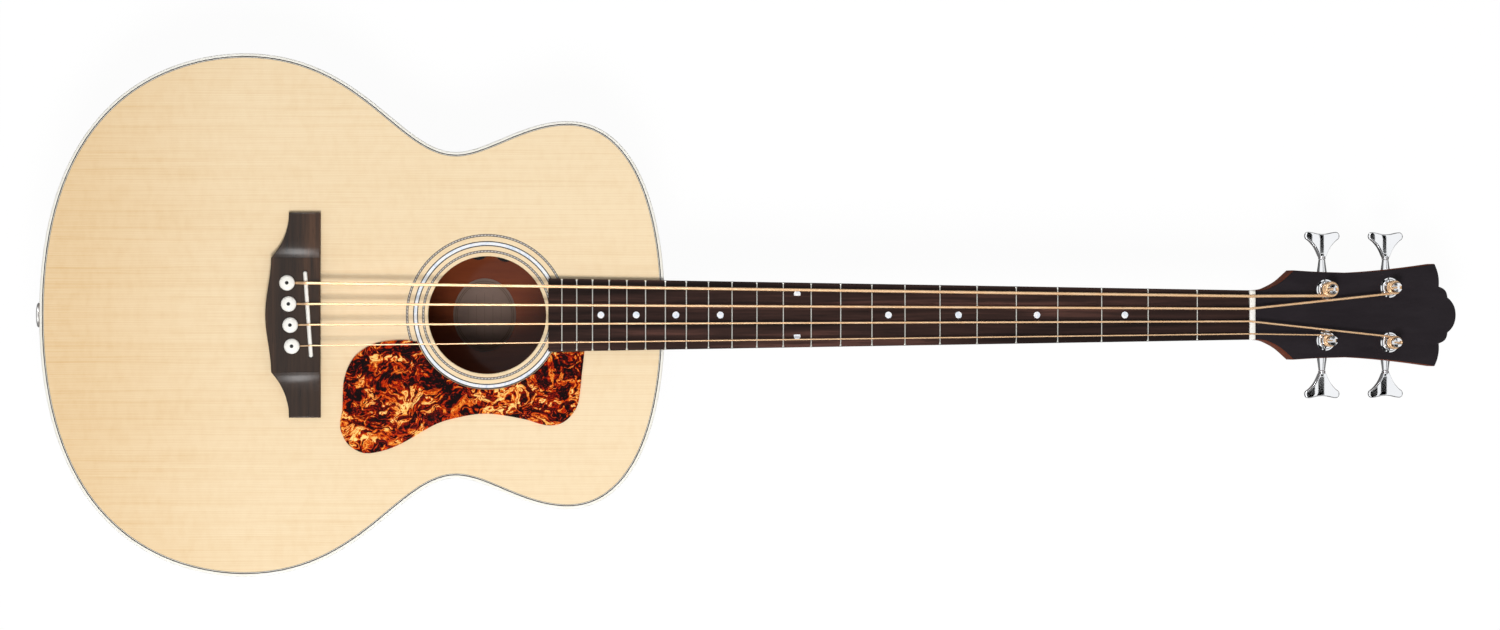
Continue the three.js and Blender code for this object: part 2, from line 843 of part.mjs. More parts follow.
function upperBrace() {
  const x = fretboardEnd + upperBraceFromBoard;
  const bar = braceBar(upperBraceLength).rotateZ(Math.PI / 2).translate(x, 0, 0);
  const way = rodX(trussNutRadius + 2 * fitGap, x - braceWidth, x + braceWidth, holeSegments);
  return fittedBrace(bar).subtract(solid(way.translate(0, 0, trussRodZ)));
}

// A bar behind the bridge plate, kept clear of the X.
function toneBar({ share, tilt, length }) {
  const from = bridgePlateBack - toneBarFromPlate;
  const x = from + (bodyTail + tailBlockLength - from) * share;
  const bar = fittedBrace(braceBar(length).rotateZ(Math.PI / 2 + tilt).translate(x, 0, 0));
  return bar.subtract(crossRoom(1)).subtract(crossRoom(-1));
}

// The plate under the bridge, between the two arms of the X.
function bridgePlate() {
  const armHalf = (braceWidth / 2 + fitGap) * Math.SQRT2;
  const between = (x, half) => Math.min(half, crossingX - x - armHalf);
  const frontHalf = between(plateFront, bridgePlateFrontHalf);
  const backHalf = between(bridgePlateBack, bridgePlateBackHalf);
  const outline = new THREE.Shape([
    new THREE.Vector2(plateFront, -frontHalf),
    new THREE.Vector2(plateFront, frontHalf),
    new THREE.Vector2(bridgePlateBack, backHalf),
    new THREE.Vector2(bridgePlateBack, -backHalf),
  ]);
  let made = solid(extruded(outline, plateBottom, plateTop));
  strings.forEach((string) => {
    made = made.subtract(pinHole(string, plateBottom - overrun, plateTop + overrun));
  });
  return made;
}

// Bridge, saddle and pins

// The hole for a pin, with the channel beside it that its string comes up through.
function pinHole({ diameter, pinX, pinY }, z1, z2) {
  const hole = rodZ(pinShankRadius + runGap, z1, z2, holeSegments).translate(pinX, pinY, 0);
  const half = diameter / 2 + runGap;
  const channel = box(pinX, pinX + pinFluteOffset + half, pinY - half, pinY + half, z1, z2);
  return solid(hole).add(solid(channel));
}

function saddleAngle() {
  return Math.atan2(saddleTreble.y - saddleBass.y, saddleTreble.x - saddleBass.x);
}

function saddleXAt(y) {
  const share = (y - saddleBass.y) / (saddleTreble.y - saddleBass.y);
  return saddleBass.x + (saddleTreble.x - saddleBass.x) * share;
}

function saddleLength() {
  return Math.hypot(saddleTreble.y - saddleBass.y, saddleTreble.x - saddleBass.x);
}

// A bar that lies along the saddle's line.
function saddleBar(length, width, z1, z2) {
  return onSaddleLine(box(-length / 2, length / 2, -width / 2, width / 2, z1, z2));
}

// Turns a piece that lies along X, bass end first, onto the saddle's line.
function onSaddleLine(geometry) {
  const middleX = (saddleBass.x + saddleTreble.x) / 2;
  const middleY = (saddleBass.y + saddleTreble.y) / 2;
  return geometry.rotateZ(saddleAngle()).translate(middleX, middleY, 0);
}

function saddleCrownAt(y) {
  const middle = (saddleBass.y + saddleTreble.y) / 2;
  const half = (saddleBass.y - saddleTreble.y) / 2;
  return saddleTop - saddleDrop * ((y - middle) / half) ** 2;
}

const saddleFloor = bridgeTop - saddleSlotDepth;
const saddleBottom = saddleFloor + pickupHeight + 2 * seatGap;

// The saddle's crest falls away towards the pins, where the strings break over it.
function saddle() {
  const half = saddleThickness / 2;
  const sections = Array.from({ length: saddleSteps + 1 }, (_, i) => {
    const along = saddleLength() * (i / saddleSteps - 1 / 2);
    const y = (saddleBass.y + saddleTreble.y) / 2 - along;
    const crest = saddleCrownAt(y);
    return [
      [-half, saddleBottom],
      [-half, crest - saddleFrontFall],
      [0, crest],
      [half, crest - saddleBackFall],
      [half, saddleBottom],
    ].map(([across, z]) => new THREE.Vector3(along, -across, z));
  });
  return onSaddleLine(loft(sections));
}

function pickupStrip() {
  const low = saddleFloor + seatGap;
  return saddleBar(saddleLength() - 2 * pickupInset, pickupWidth, low, low + pickupHeight);
}

function bridgeOutline() {
  const shape = new THREE.Shape();
  const wing = wingCurveShares.map(([along, out]) => [
    bridgeWingBack + (bridgeShoulder - bridgeWingBack) * out,
    bridgeHalf + (bridgeCentreHalf - bridgeHalf) * along,
  ]);
  shape.moveTo(bridgeFront, -bridgeHalf);
  shape.lineTo(bridgeFront, bridgeHalf);
  wing.forEach(([x, y]) => shape.lineTo(x, y));
  shape.quadraticCurveTo(2 * bridgeBelly - bridgeShoulder, 0, bridgeShoulder, -bridgeCentreHalf);
  wing.slice(0, -1).reverse().forEach(([x, y]) => shape.lineTo(x, -y));
  return shape;
}

// The bridge seen from its front: flat in the middle, with a hollow down to each wing.
function bridgeProfile() {
  const low = wingHeight;
  const high = bridgeHeight - wingStep;
  const half = scoopShares.map(([along, up]) => [
    bridgeCentreHalf + (bridgeHalf - bridgeCentreHalf) * along,
    bridgeBottom + low + (high - low) * up,
  ]);
  half.unshift([bridgeCentreHalf, bridgeTop]);
  half.push([bridgeHalf + overrun, bridgeBottom + low], [bridgeHalf + overrun, bridgeBottom - overrun]);
  const right = half.map(([y, z]) => new THREE.Vector2(y, z));
  const left = half.map(([y, z]) => new THREE.Vector2(-y, z)).reverse();
  return new THREE.Shape([...left, ...right]);
}

function bridge() {
  const plan = solid(extruded(bridgeOutline(), bridgeBottom, bridgeTop));
  const across = extruded(bridgeProfile(), bridgeBelly - overrun, bridgeFront + overrun);
  let made = plan.intersect(solid(across.rotateX(Math.PI / 2).rotateZ(Math.PI / 2)));
  const slotLength = saddleLength() + 2 * fitGap;
  const slot = saddleBar(slotLength, saddleThickness + 2 * fitGap, saddleFloor, bridgeTop + overrun);
  made = made.subtract(solid(slot));
  strings.forEach((string) => {
    made = made.subtract(pinHole(string, bridgeBottom - overrun, bridgeTop + overrun));
    made = made.subtract(stringRamp(string));
  });
  return made;
}

// Where a string crosses the saddle, and where it dips under the head of its pin.
function stringCrossing({ diameter, saddleY, pinX, pinY }) {
  const radius = diameter / 2;
  const over = { x: saddleXAt(saddleY) - stringBreakBehind, z: saddleCrownAt(saddleY) + radius + fitGap };
  const rim = { x: pinX + pinHeadRadius, z: bridgeTop - radius - fitGap };
  const slope = (over.z - rim.z) / (over.x - rim.x);
  const bendX = pinX + pinFluteOffset;
  return { over, slope, bendX, bendZ: rim.z - slope * (rim.x - bendX), pinY };
}

// The slanted slot in the bridge that a string leaves its pin hole by.
function stringRamp(string) {
  const { slope, bendX, bendZ } = stringCrossing(string);
  const half = string.diameter / 2 + runGap;
  const drop = (half + seatGap) * Math.hypot(1, slope);
  const outX = bendX + (bridgeTop - bendZ + drop) / slope;
  const profile = new THREE.Shape([
    new THREE.Vector2(string.pinX, bendZ - drop),
    new THREE.Vector2(bendX, bendZ - drop),
    new THREE.Vector2(outX + overrun / slope, bridgeTop + overrun),
    new THREE.Vector2(string.pinX, bridgeTop + overrun),
  ]);
  const cut = extruded(profile, -half, half).rotateX(Math.PI / 2);
  return solid(cut.translate(0, string.pinY, 0));
}

function bridgePin(string) {
  const low = bridgeTop + runGap;
  const tip = low - pinLength;
  const profile = [
    [0, tip],
    [pinTipRadius, tip],
    [pinShankRadius, low],
    [pinHeadRadius, low],
    [pinHeadRadius, low + pinCollarHeight],
    [pinHeadRadius * pinDomeShares[0], low + pinHeadHeight * pinDomeShares[1]],
    [0, low + pinHeadHeight],
  ];
  const half = string.diameter / 2 + runGap;
  const flute = rodZ(half, tip - overrun, low - seatGap, holeSegments).translate(pinFluteOffset, 0, 0);
  const open = box(pinFluteOffset, pinHeadRadius, -half, half, tip - overrun, low - seatGap);
  const relief = box(pinReliefX, pinHeadRadius, -pinHeadRadius, pinHeadRadius, tip - overrun, plateBottom);
  return solid(latheZ(profile, holeSegments))
    .subtract(solid(flute))
    .subtract(solid(open))
    .subtract(solid(relief))
    .translate([string.pinX, string.pinY, 0]);
}

// Fretboard, frets and nut

function fretboardHalf(x) {
  const share = (x - fretboardEnd) / (scaleLength - fretboardEnd);
  return fretboardEndHalf + (fretboardNutHalf - fretboardEndHalf) * share;
}

// How far the cambered surface has fallen at a place across the board.
function camber(y) {
  return fretboardCamber * (y / fretboardEndHalf) ** 2;
}

function acrossBoard(half) {
  return Array.from({ length: boardSteps + 1 }, (_, i) => half - (2 * half * i) / boardSteps);
}

function fretboardSection(x) {
  const half = fretboardHalf(x);
  const bottom = fretboardTop - fretboardThickness;
  const top = acrossBoard(half).map((y) => new THREE.Vector3(x, y, fretboardTop - camber(y)));
  return [new THREE.Vector3(x, half, bottom), ...top, new THREE.Vector3(x, -half, bottom)];
}

function fret(number) {
  const x = fretAt(number);
  const half = fretboardHalf(x) - seatGap;
  const crown = fretWidth * fretCrownShare;
  const foot = 2 * fretWidth - crown;
  const sections = acrossBoard(half).map((y) => {
    const low = fretboardTop - camber(y) - fretHeight;
    const high = fretTop - camber(y);
    return [
      new THREE.Vector3(x - foot / 2, y, low),
      new THREE.Vector3(x - crown / 2, y, high),
      new THREE.Vector3(x + crown / 2, y, high),
      new THREE.Vector3(x + foot / 2, y, low),
    ];
  });
  return solid(loft(sections));
}

function fretboard() {
  const end = scaleLength - seatGap;
  let made = solid(loft([fretboardSection(fretboardEnd), fretboardSection(end)]));
  for (let number = 1; number <= fretCount; number += 1) {
    made = made.add(fret(number));
  }
  return made;
}

function nut() {
  const half = fretboardNutHalf;
  const back = scaleLength + nutThickness;
  const low = bodyDepth + seatGap;
  const high = fretTop + nutAboveFrets;
  const profile = new THREE.Shape([
    new THREE.Vector2(scaleLength, low),
    new THREE.Vector2(back, low),
    new THREE.Vector2(back, high - 2 * nutChamfer),
    new THREE.Vector2(back - nutChamfer, high - nutChamfer),
    new THREE.Vector2(scaleLength + nutChamfer, high),
    new THREE.Vector2(scaleLength, high - nutChamfer),
  ]);
  let made = solid(extruded(profile, -half, half).rotateX(Math.PI / 2));
  strings.forEach((string) => {
    made = made.subtract(nutSlot(string));
  });
  return made;
}

// Where a string's centre crosses the nut.
function nutPoint({ diameter, nutY }) {
  const z = fretTop + stringFretClearance + diameter / 2;
  return new THREE.Vector3(scaleLength, nutY, z);
}

// The groove of a string: its floor falls away towards the head.
function nutSlot(string) {
  const radius = string.diameter / 2 + seatGap;
  const start = nutPoint(string);
  const end = headEntry(string);
  const before = start.clone().add(start.clone().sub(end));
  const beyond = end.clone().add(end.clone().sub(start));
  const round = tube([before, start, end, beyond], radius, stringSides);
  const [y1, y2] = [string.nutY - radius, string.nutY + radius];
  const above = box(before.x, beyond.x, y1, y2, start.z, start.z + overrun);
  return solid(round).add(solid(above));
}

// Strings

// A round bar along a chain of points, kept from twisting.
function tube(points, radius, sides) {
  const loops = [];
  let side = null;
  points.forEach((point, i) => {
    const before = points[Math.max(i - 1, 0)];
    const after = points[Math.min(i + 1, points.length - 1)];
    const along = after.clone().sub(before).normalize();
    if (side === null) {
      side = Math.abs(along.z) > Math.SQRT1_2 ? new THREE.Vector3(1, 0, 0) : new THREE.Vector3(0, 0, 1);
    }
    side = side.clone().addScaledVector(along, -side.dot(along)).normalize();
    const across = along.clone().cross(side);
    loops.push(Array.from({ length: sides }, (_, k) => {
      const angle = (2 * Math.PI * (k + 1 / 2)) / sides;
      return point
        .clone()
        .addScaledVector(side, radius * Math.cos(angle))
        .addScaledVector(across, radius * Math.sin(angle));
    }));
  });
  return loft(loops);
}

// The machine of each string: which post, and which side of the head.
function machineOf(index) {
  const sign = index < 2 ? 1 : -1;
  const place = postPlaces[index === 0 || index === 3 ? 0 : 1];
  return { x: place.x, y: sign * place.y, sign };
}

function windingRadius({ diameter }) {
  return postWaistRadius + runGap + diameter / 2;
}

// Where a string leaves the nut towards its post.
function headEntry(string) {
  const start = nutPoint(string);
  const index = strings.indexOf(string);
  const target = windingPoint(string, machineOf(index), 0);
  const share = nutThickness / (target.x - start.x);
  const straight = start.clone().lerp(target, share);
  straight.z = start.z - seatGap;
  return straight;
}

// A point of the winding in the body's frame, after so many turns round the post.
function windingPoint(string, machine, turns) {
  const radius = windingRadius(string);
  const angle = machine.sign * (turns * 2 * Math.PI - Math.PI / 2);
  const rise = turns * (string.diameter + windingGap);
  const point = new THREE.Vector3(
    machine.x + radius * Math.cos(angle),
    machine.y + radius * Math.sin(angle),
    windingStart + rise,
  );
  return point.applyMatrix4(headFrame);
}

function windingPoints(string, machine) {
  const steps = Math.round(string.turns * stepsPerTurn);
  return Array.from({ length: steps + 1 }, (_, i) => windingPoint(string, machine, i / stepsPerTurn));
}

function stringRoute(string, index) {
  const { over, slope, bendX, bendZ, pinY } = stringCrossing(string);
  const ease = string.diameter;
  const low = plateBottom - seatGap - ballRadius;
  const start = nutPoint(string);
  const entry = headEntry(string);
  const overPoint = new THREE.Vector3(over.x, string.saddleY, over.z);
  const fall = Math.hypot(1, slope);
  const points = [
    new THREE.Vector3(bendX, pinY, low),
    new THREE.Vector3(bendX, pinY, bendZ - ease),
    new THREE.Vector3(bendX + ease * bendShares[0], pinY, bendZ - ease * bendShares[1]),
    new THREE.Vector3(bendX + ease / fall, pinY, bendZ + (ease * slope) / fall),
    overPoint.clone().lerp(new THREE.Vector3(bendX, pinY, bendZ), liftShare),
    overPoint.clone().lerp(start, ease / scaleLength),
    start,
    entry,
  ];
  return [...points, ...windingPoints(string, machineOf(index))];
}

// A string with the ball at its end, from under the bridge plate to its turns round the post.
function stringSolid(string, index) {
  const route = stringRoute(string, index);
  const line = solid(tube(route, string.diameter / 2, stringSides));
  const ball = rodX(ballRadius, -ballLength / 2, ballLength / 2, holeSegments);
  const low = route[0];
  return line.add(solid(ball.translate(low.x + seatGap, low.y, low.z)));
}

// The least gap between neighbouring turns of a winding, measured on its own points.
function leastWindingGap(string, index) {
  const points = windingPoints(string, machineOf(index));
  let least = Infinity;
  points.forEach((a, i) => {
    points.slice(i + stepsPerTurn / 2).forEach((b) => {
      least = Math.min(least, a.distanceTo(b) - string.diameter);
    });
  });
  return least;
}

// Pickguard

function pickguard() {
  const outer = pickguardOuterShares.map(([along, out]) => [
    soundholeX + along * pickguardLength,
    -out * pickguardReach,
  ]);
  const curve = new THREE.SplineCurve(outer.map(([x, y]) => new THREE.Vector2(x, y)));
  const points = curve.getPoints(outer.length - 1);
  const boardEdge = (x) => -fretboardHalf(x) - pickguardRingClearance;
  const inner = pearlRingRadius + pearlRingWidth + pickguardRingClearance;
  const shape = new THREE.Shape([
    ...points,
    new THREE.Vector2(soundholeX, 0),
    new THREE.Vector2(points[0].x, 0),
  ]);
  const made = solid(extruded(shape, bodyDepth + seatGap, bodyDepth + seatGap + pickguardThickness));
  const hole = rodZ(inner, bodyDepth - overrun, bodyDepth + overrun, ringSegments);
  const boardSide = new THREE.Shape([
    new THREE.Vector2(fretboardEnd - inner, boardEdge(fretboardEnd - inner)),
    new THREE.Vector2(scaleLength, boardEdge(scaleLength)),
    new THREE.Vector2(scaleLength, fretboardEndHalf),
    new THREE.Vector2(fretboardEnd - inner, fretboardEndHalf),
  ]);
  return made
    .subtract(solid(hole.translate(soundholeX, 0, 0)))
    .subtract(solid(extruded(boardSide, bodyDepth - overrun, bodyDepth + overrun)));
}

// Preamp with its two wheels, battery, jack and label

const wheelZ = topUnderside - wheelBelowTop;
const preampTop = topUnderside - seatGap;
const preampX = soundholeX + (wheelFromCentre[0] + wheelFromCentre[1]) / 2;
const preampInner = soundholeRadius + preampFromHole;

// How far out from the middle line a wheel's axle lies, so that it shows as much as the other.
function wheelOut(along) {
  return Math.sqrt((soundholeRadius + wheelRadius - wheelShowing) ** 2 - along ** 2);
}

function preampCase() {
  const x1 = preampX - preampLength / 2;
  const x2 = preampX + preampLength / 2;
  const y2 = preampInner + preampWidth;
  let made = solid(box(x1, x2, preampInner, y2, preampTop - preampHeight, preampTop));
  wheelFromCentre.forEach((along) => {
    const low = wheelZ - wheelThickness / 2 - runGap;
    const high = wheelZ + wheelThickness / 2 + runGap;
    const pocket = rodZ(wheelRadius + wheelGrip + 2 * runGap, low, high, ringSegments);
    const axle = rodZ(wheelAxleRadius + runGap, low - wheelAxleLength, high, holeSegments);
    made = made.subtract(solid(pocket.translate(soundholeX + along, wheelOut(along), 0)));
    made = made.subtract(solid(axle.translate(soundholeX + along, wheelOut(along), 0)));
  });
  return made;
}

function thumbwheel() {
  const rim = Array.from({ length: wheelTeeth * 2 }, (_, i) => {
    const radius = i % 2 === 0 ? wheelRadius + wheelGrip : wheelRadius;
    const angle = (Math.PI * i) / wheelTeeth;
    return new THREE.Vector2(radius * Math.cos(angle), radius * Math.sin(angle));
  });
  const disc = extruded(new THREE.Shape(rim), -wheelThickness / 2, wheelThickness / 2);
  const axle = rodZ(wheelAxleRadius, -wheelThickness / 2 - wheelAxleLength, 0, holeSegments);
  return geometryOf(solid(disc).add(solid(axle)));
}

function battery() {
  const x2 = neckBlockBack - batteryBehindBlock;
  const x1 = x2 - batteryLength;
  const centre = upperBoutHalf / 2;
  const low = Math.max(...[x1, x2].map((x) => backInside(x, centre + batteryWidth / 2))) + fitGap;
  return box(x1, x2, centre - batteryWidth / 2, centre + batteryWidth / 2, low, low + batteryHeight);
}

// The jack through the tail block, with the strap button that is its outer end.
function endpinJack() {
  const faceX = bodyTail - seatGap;
  const outX = faceX - jackOut;
  const profile = [
    [0, outX + jackBoreDepth],
    [jackBoreRadius, outX + jackBoreDepth],
    [jackBoreRadius, outX],
    [jackFlangeRadius - seatGap, outX],
    [jackFlangeRadius, outX + jackFlangeThickness / 2],
    [jackFlangeRadius - seatGap, outX + jackFlangeThickness],
    [jackNeckRadius, outX + jackFlangeThickness],
    [jackNeckRadius, faceX - seatGap * 2],
    [jackFlangeRadius - 2 * seatGap, faceX - seatGap],
    [jackBarrelRadius, faceX],
    [jackBarrelRadius, faceX + jackInside + tailBlockLength],
    [0, faceX + jackInside + tailBlockLength],
  ];
  return latheZ(profile, holeSegments).rotateY(Math.PI / 2).translate(0, 0, jackZ);
}

function paperLabel() {
  const shape = new THREE.Shape();
  const x = soundholeX + labelFromHole;
  shape.absellipse(x, 0, labelLength / 2, labelWidth / 2, 0, 2 * Math.PI);
  const tall = solid(extruded(shape, -overrun, bodyDepth, holeSegments / 2));
  return tall.intersect(belowBack(fitGap + labelThickness)).subtract(belowBack(fitGap));
}

// Neck

function trussRod(gap, x1, x2) {
  return rodX(trussRodRadius + gap, x1, x2, holeSegments).translate(0, 0, trussRodZ);
}

const neckTop = bodyDepth;

function neckDepth(x) {
  const share = (scaleLength - x) / (scaleLength - bodyEnd);
  return neckDepthNut + (neckDepthHeel - neckDepthNut) * share;
}

// A rounded section of the neck under the fretboard.
function neckSection(x, half = fretboardHalf(Math.min(x, scaleLength)), depth = neckDepth(x)) {
  const points = [new THREE.Vector3(x, half, neckTop), new THREE.Vector3(x, -half, neckTop)];
  for (let i = 0; i <= neckSectionSteps; i += 1) {
    const angle = (Math.PI * i) / neckSectionSteps;
    const y = -half * Math.cos(angle);
    const z = neckTop - neckEdge - (depth - neckEdge) * Math.sin(angle);
    points.push(new THREE.Vector3(x, y, z));
  }
  return points;
}

function neckShaft() {
  const start = bodyEnd + fitGap;
  const sections = [];
  for (let i = 0; i < neckSections; i += 1) {
    const x = start + ((scaleLength + nutThickness - start) * i) / (neckSections - 1);
    sections.push(neckSection(x));
  }
  const made = solid(loft(sections));
  const root = [headX - overrun / 2, headX + headRoot];
  const under = root.map((x) => neckSection(x, fretboardNutHalf, neckDepthNut));
  const cover = solid(extruded(headShape(), headBack, -veneerThickness - seatGap).applyMatrix4(headFrame));
  const belowHead = solid(box(-overrun, headLength, -lowerBoutHalf, lowerBoutHalf, -bodyDepth, headBack / 2)
    .applyMatrix4(headFrame));
  return made.add(cover).add(solid(loft(under)).intersect(belowHead));
}

// The heel, lofted from its foot up to the neck; its flat side faces the body.
function heel() {
  const foot = heelCapTop + seatGap;
  const sections = [];
  for (let i = 0; i <= heelLevels; i += 1) {
    const share = i / heelLevels;
    const z = foot + (neckTop - neckEdge - foot) * share;
    sections.push(heelSection(share, z));
  }
  return solid(loft(sections));
}

function heelSection(share, z) {
  const length = heelFootLength + (heelTopLength - heelFootLength) * share ** heelCurve;
  const half = heelFootHalf + (heelTopHalf - heelFootHalf) * share ** heelCurve;
  const points = [];
  for (let i = 0; i <= neckSectionSteps; i += 1) {
    const angle = (Math.PI * i) / neckSectionSteps - Math.PI / 2;
    const x = bodyEnd + fitGap + length * Math.cos(angle);
    points.push(new THREE.Vector3(x, half * Math.sin(angle), z));
  }
  return points;
}

const heelCapLow = rimZ(bodyEnd);
const heelCapTop = heelCapLow + heelCapThickness;

function heelCap() {
  return loft([heelSection(0, heelCapLow), heelSection(0, heelCapTop)]);
}

function neck() {
  const tenon = box(bodyEnd - tenonLength, bodyEnd + overrun, -tenonHalf, tenonHalf, tenonLow, tenonHigh);
  const rodEnd = scaleLength - trussRodStop;
  const half = trussRodRadius + fitGap;
  const channel = box(bodyEnd - overrun, rodEnd + fitGap, -half, half, trussRodZ - half, bodyDepth + overrun);
  let made = neckShaft().add(heel()).add(solid(tenon)).subtract(solid(channel));
  postPlaces.forEach(({ x, y }) => {
    [1, -1].forEach((sign) => {
      const hole = rodZ(bushingRadius + fitGap, headBack - overrun, overrun, holeSegments);
      made = made.subtract(solid(hole.translate(x, sign * y, 0).applyMatrix4(headFrame)));
    });
  });
  return made;
}

function trussRodPiece() {
  return trussRod(0, neckBlockBack - trussNutLength - trussRodTip, scaleLength - trussRodStop);
}

// The hexagonal nut on the rod, reached through the soundhole; it turns about its own middle.
function trussRodNut() {
  const outer = rodX(trussNutRadius, -trussNutLength / 2, trussNutLength / 2, trussNutSides);
  const bore = rodX(trussRodRadius + runGap, -trussNutLength, trussNutLength, holeSegments);
  return solid(outer).subtract(solid(bore));
}

// Headstock

// The head's outline, from the back of the nut to the crown of its tip and back.
function headShape() {
  const half = [[0, headNutHalf]];
  flareShares.forEach(([along, out]) => {
    half.push([flareX * along, headNutHalf + (flareHalf - headNutHalf) * out]);
  });
  const narrowed = flareHalf + (headWaistHalf - flareHalf) * headNarrowingShare;
  half.push([flareX, flareHalf], [(flareX + headWaistX) / 2, narrowed], [headWaistX, headWaistHalf]);
  headSideShares.forEach((share) => {
    half.push([
      headWaistX + (headTipX - headWaistX) * share,
      headWaistHalf + (headTipHalf - headWaistHalf) * share ** headSideCurve,
    ]);
  });
  half.push([headTipX, headTipHalf]);
  half.push(...bowed([headTipX, headTipHalf], [tipEdgeX, tipEdgeHalf], tipEdgeBow, tipEdgeSteps));
  half.push(...bowed([tipEdgeX, tipEdgeHalf], [lobeX, lobeHalf], lobeBow, lobeSteps));
  half.push(...bowed([lobeX, lobeHalf], [headLength, 0], crownBow, lobeSteps));
  const whole = [...half, ...half.slice(0, -1).reverse().map(([x, y]) => [x, -y])];
  return new THREE.Shape(whole.map(([x, y]) => new THREE.Vector2(x, y)));
}

// Points after the first one along a stretch that bows outwards from its chord.
function bowed([x1, y1], [x2, y2], bow, steps) {
  const length = Math.hypot(x2 - x1, y2 - y1);
  return Array.from({ length: steps }, (_, i) => {
    const share = (i + 1) / steps;
    const out = 4 * bow * share * (1 - share);
    return [
      x1 + (x2 - x1) * share + ((y1 - y2) / length) * out,
      y1 + (y2 - y1) * share + ((x2 - x1) / length) * out,
    ];
  });
}

function headstockVeneer() {
  let made = solid(extruded(headShape(), -veneerThickness, 0));
  postPlaces.forEach(({ x, y }) => {
    [1, -1].forEach((sign) => {
      const hole = rodZ(bushingRadius + fitGap, -overrun, overrun, holeSegments);
      made = made.subtract(solid(hole.translate(x, sign * y, 0)));
    });
  });
  return made;
}

// Tuning machines, each made about its post's axis with the key towards +Y and the face at z = 0

function bushing() {
  const inner = postRadius + runGap;
  const low = headBack + seatGap;
  return latheZ([
    [inner, low],
    [bushingRadius, low],
    [bushingRadius, seatGap],
    [flangeRadius, seatGap],
    [flangeRadius, flangeHeight * flangeRimShares[1]],
    [flangeRadius - flangeHeight * flangeRimShares[0], flangeHeight],
    [inner, flangeHeight],
    [inner, low],
  ], holeSegments);
}

function gear() {
  const outer = gearPitchRadius + gearModule * toothTipShare;
  const root = gearPitchRadius - gearModule * gearValleyShare;
  const crest = (wormPitch * toothCrestShare) / 2 / outer;
  const twist = (wormPitch * gearThickness) / (2 * Math.PI * wormPitchRadius * gearPitchRadius);
  const loops = [-1, 1].map((end) => {
    const points = [];
    for (let tooth = 0; tooth < gearTeeth; tooth += 1) {
      const middle = (2 * Math.PI * tooth) / gearTeeth + (end * twist) / 2;
      [[root, -Math.PI / gearTeeth], [outer, -crest], [outer, crest]].forEach(([radius, turn]) => {
        const angle = middle + turn;
        const z = gearHeight + (end * gearThickness) / 2;
        points.push(new THREE.Vector3(radius * Math.cos(angle), radius * Math.sin(angle), z));
      });
    }
    return points;
  });
  return solid(loft(loops));
}

// The post of one machine with its gear; a slot across its top takes the end of the string.
function post() {
  const low = gearHeight;
  const capLow = postHeight - postCapHeight;
  const shaft = latheZ([
    [0, low],
    [postRadius, low],
    [postRadius, flangeHeight + seatGap],
    [postWaistRadius, windingStart - runGap],
    [postWaistRadius, capLow],
    [postRadius + runGap, capLow + postCapHeight * postCapShare],
    [postRadius, postHeight],
    [0, postHeight],
  ], holeSegments);
  const slotLow = postHeight - postSlotDepth;
  const slot = box(
    -overrun,
    overrun,
    -postSlotWidth / 2,
    postSlotWidth / 2,
    slotLow,
    postHeight + overrun,
  );
  return geometryOf(solid(shaft).add(gear()).subtract(solid(slot)));
}

// The threaded middle of the key's shaft: rings of points whose radius follows a one-start thread.
function worm(start) {
  const outer = wormPitchRadius + gearModule * toothTipShare;
  const root = wormPitchRadius - gearModule * threadRootShare;
  const rings = wormTurns * wormStepsPerTurn;
  const loops = [];
  for (let j = 0; j <= rings; j += 1) {
    const along = (j / wormStepsPerTurn - wormTurns / 2) * wormPitch;
    loops.push(Array.from({ length: wormSides }, (_, k) => {
      const turn = k / wormSides;
      const atEnd = j === 0 || j === rings;
      const radius = atEnd ? keyShaftRadius : threadRadius(along / wormPitch - turn, root, outer);
      const angle = 2 * Math.PI * turn;
      return new THREE.Vector3(radius * Math.cos(angle), along + start, -radius * Math.sin(angle));
    }));
  }
  return solid(loft(loops));
}

// The thread's radius at a phase of its turn: a crest in the middle, the root at both ends.
function threadRadius(phase, root, outer) {
  const share = Math.abs(phase - Math.round(phase)) * wormPitch;
  const crest = wormPitch / 4 - toothClearance / 2 - gearModule * toothTipShare * Math.tan(pressureAngle);
  const foot = wormPitch / 4 - toothClearance / 2 + gearModule * threadRootShare * Math.tan(pressureAngle);
  const height = THREE.MathUtils.clamp((foot - share) / (foot - crest), 0, 1);
  return root + (outer - root) * height;
}

// A key with its worm, made about its own axis; the button's broad faces point up and down.
function key(postY) {
  const wormHalf = (wormTurns * wormPitch) / 2;
  const collarStart = noseReach - postY + seatGap;
  const shaft = rodY(keyShaftRadius, -wormHalf - housingWall, collarStart + collarLength, wormSides);
  const collar = rodY(collarRadius, collarStart, collarStart + collarLength, holeSegments);
  const buttonStart = collarStart + collarLength - keyBevel;
  const reach = keyReach - postY - buttonStart - keyBevel;
  const half = keyShares.map(([along, out]) => [
    out * (keyHalfWidth - keyBevel),
    buttonStart + keyBevel + along * reach,
  ]);
  const whole = [...half, ...half.slice().reverse().map(([x, y]) => [-x, y])];
  const shape = new THREE.Shape(whole.map(([x, y]) => new THREE.Vector2(x, y)));
  const depth = keyThickness - 2 * keyBevel;
  const settings = { depth, bevelThickness: keyBevel, bevelSize: keyBevel, bevelSegments: 1 };
  const button = new THREE.ExtrudeGeometry(shape, settings).translate(0, 0, -depth / 2);
  return geometryOf(solid(shaft).add(worm(0)).add(solid(collar)).add(solid(button)));
}

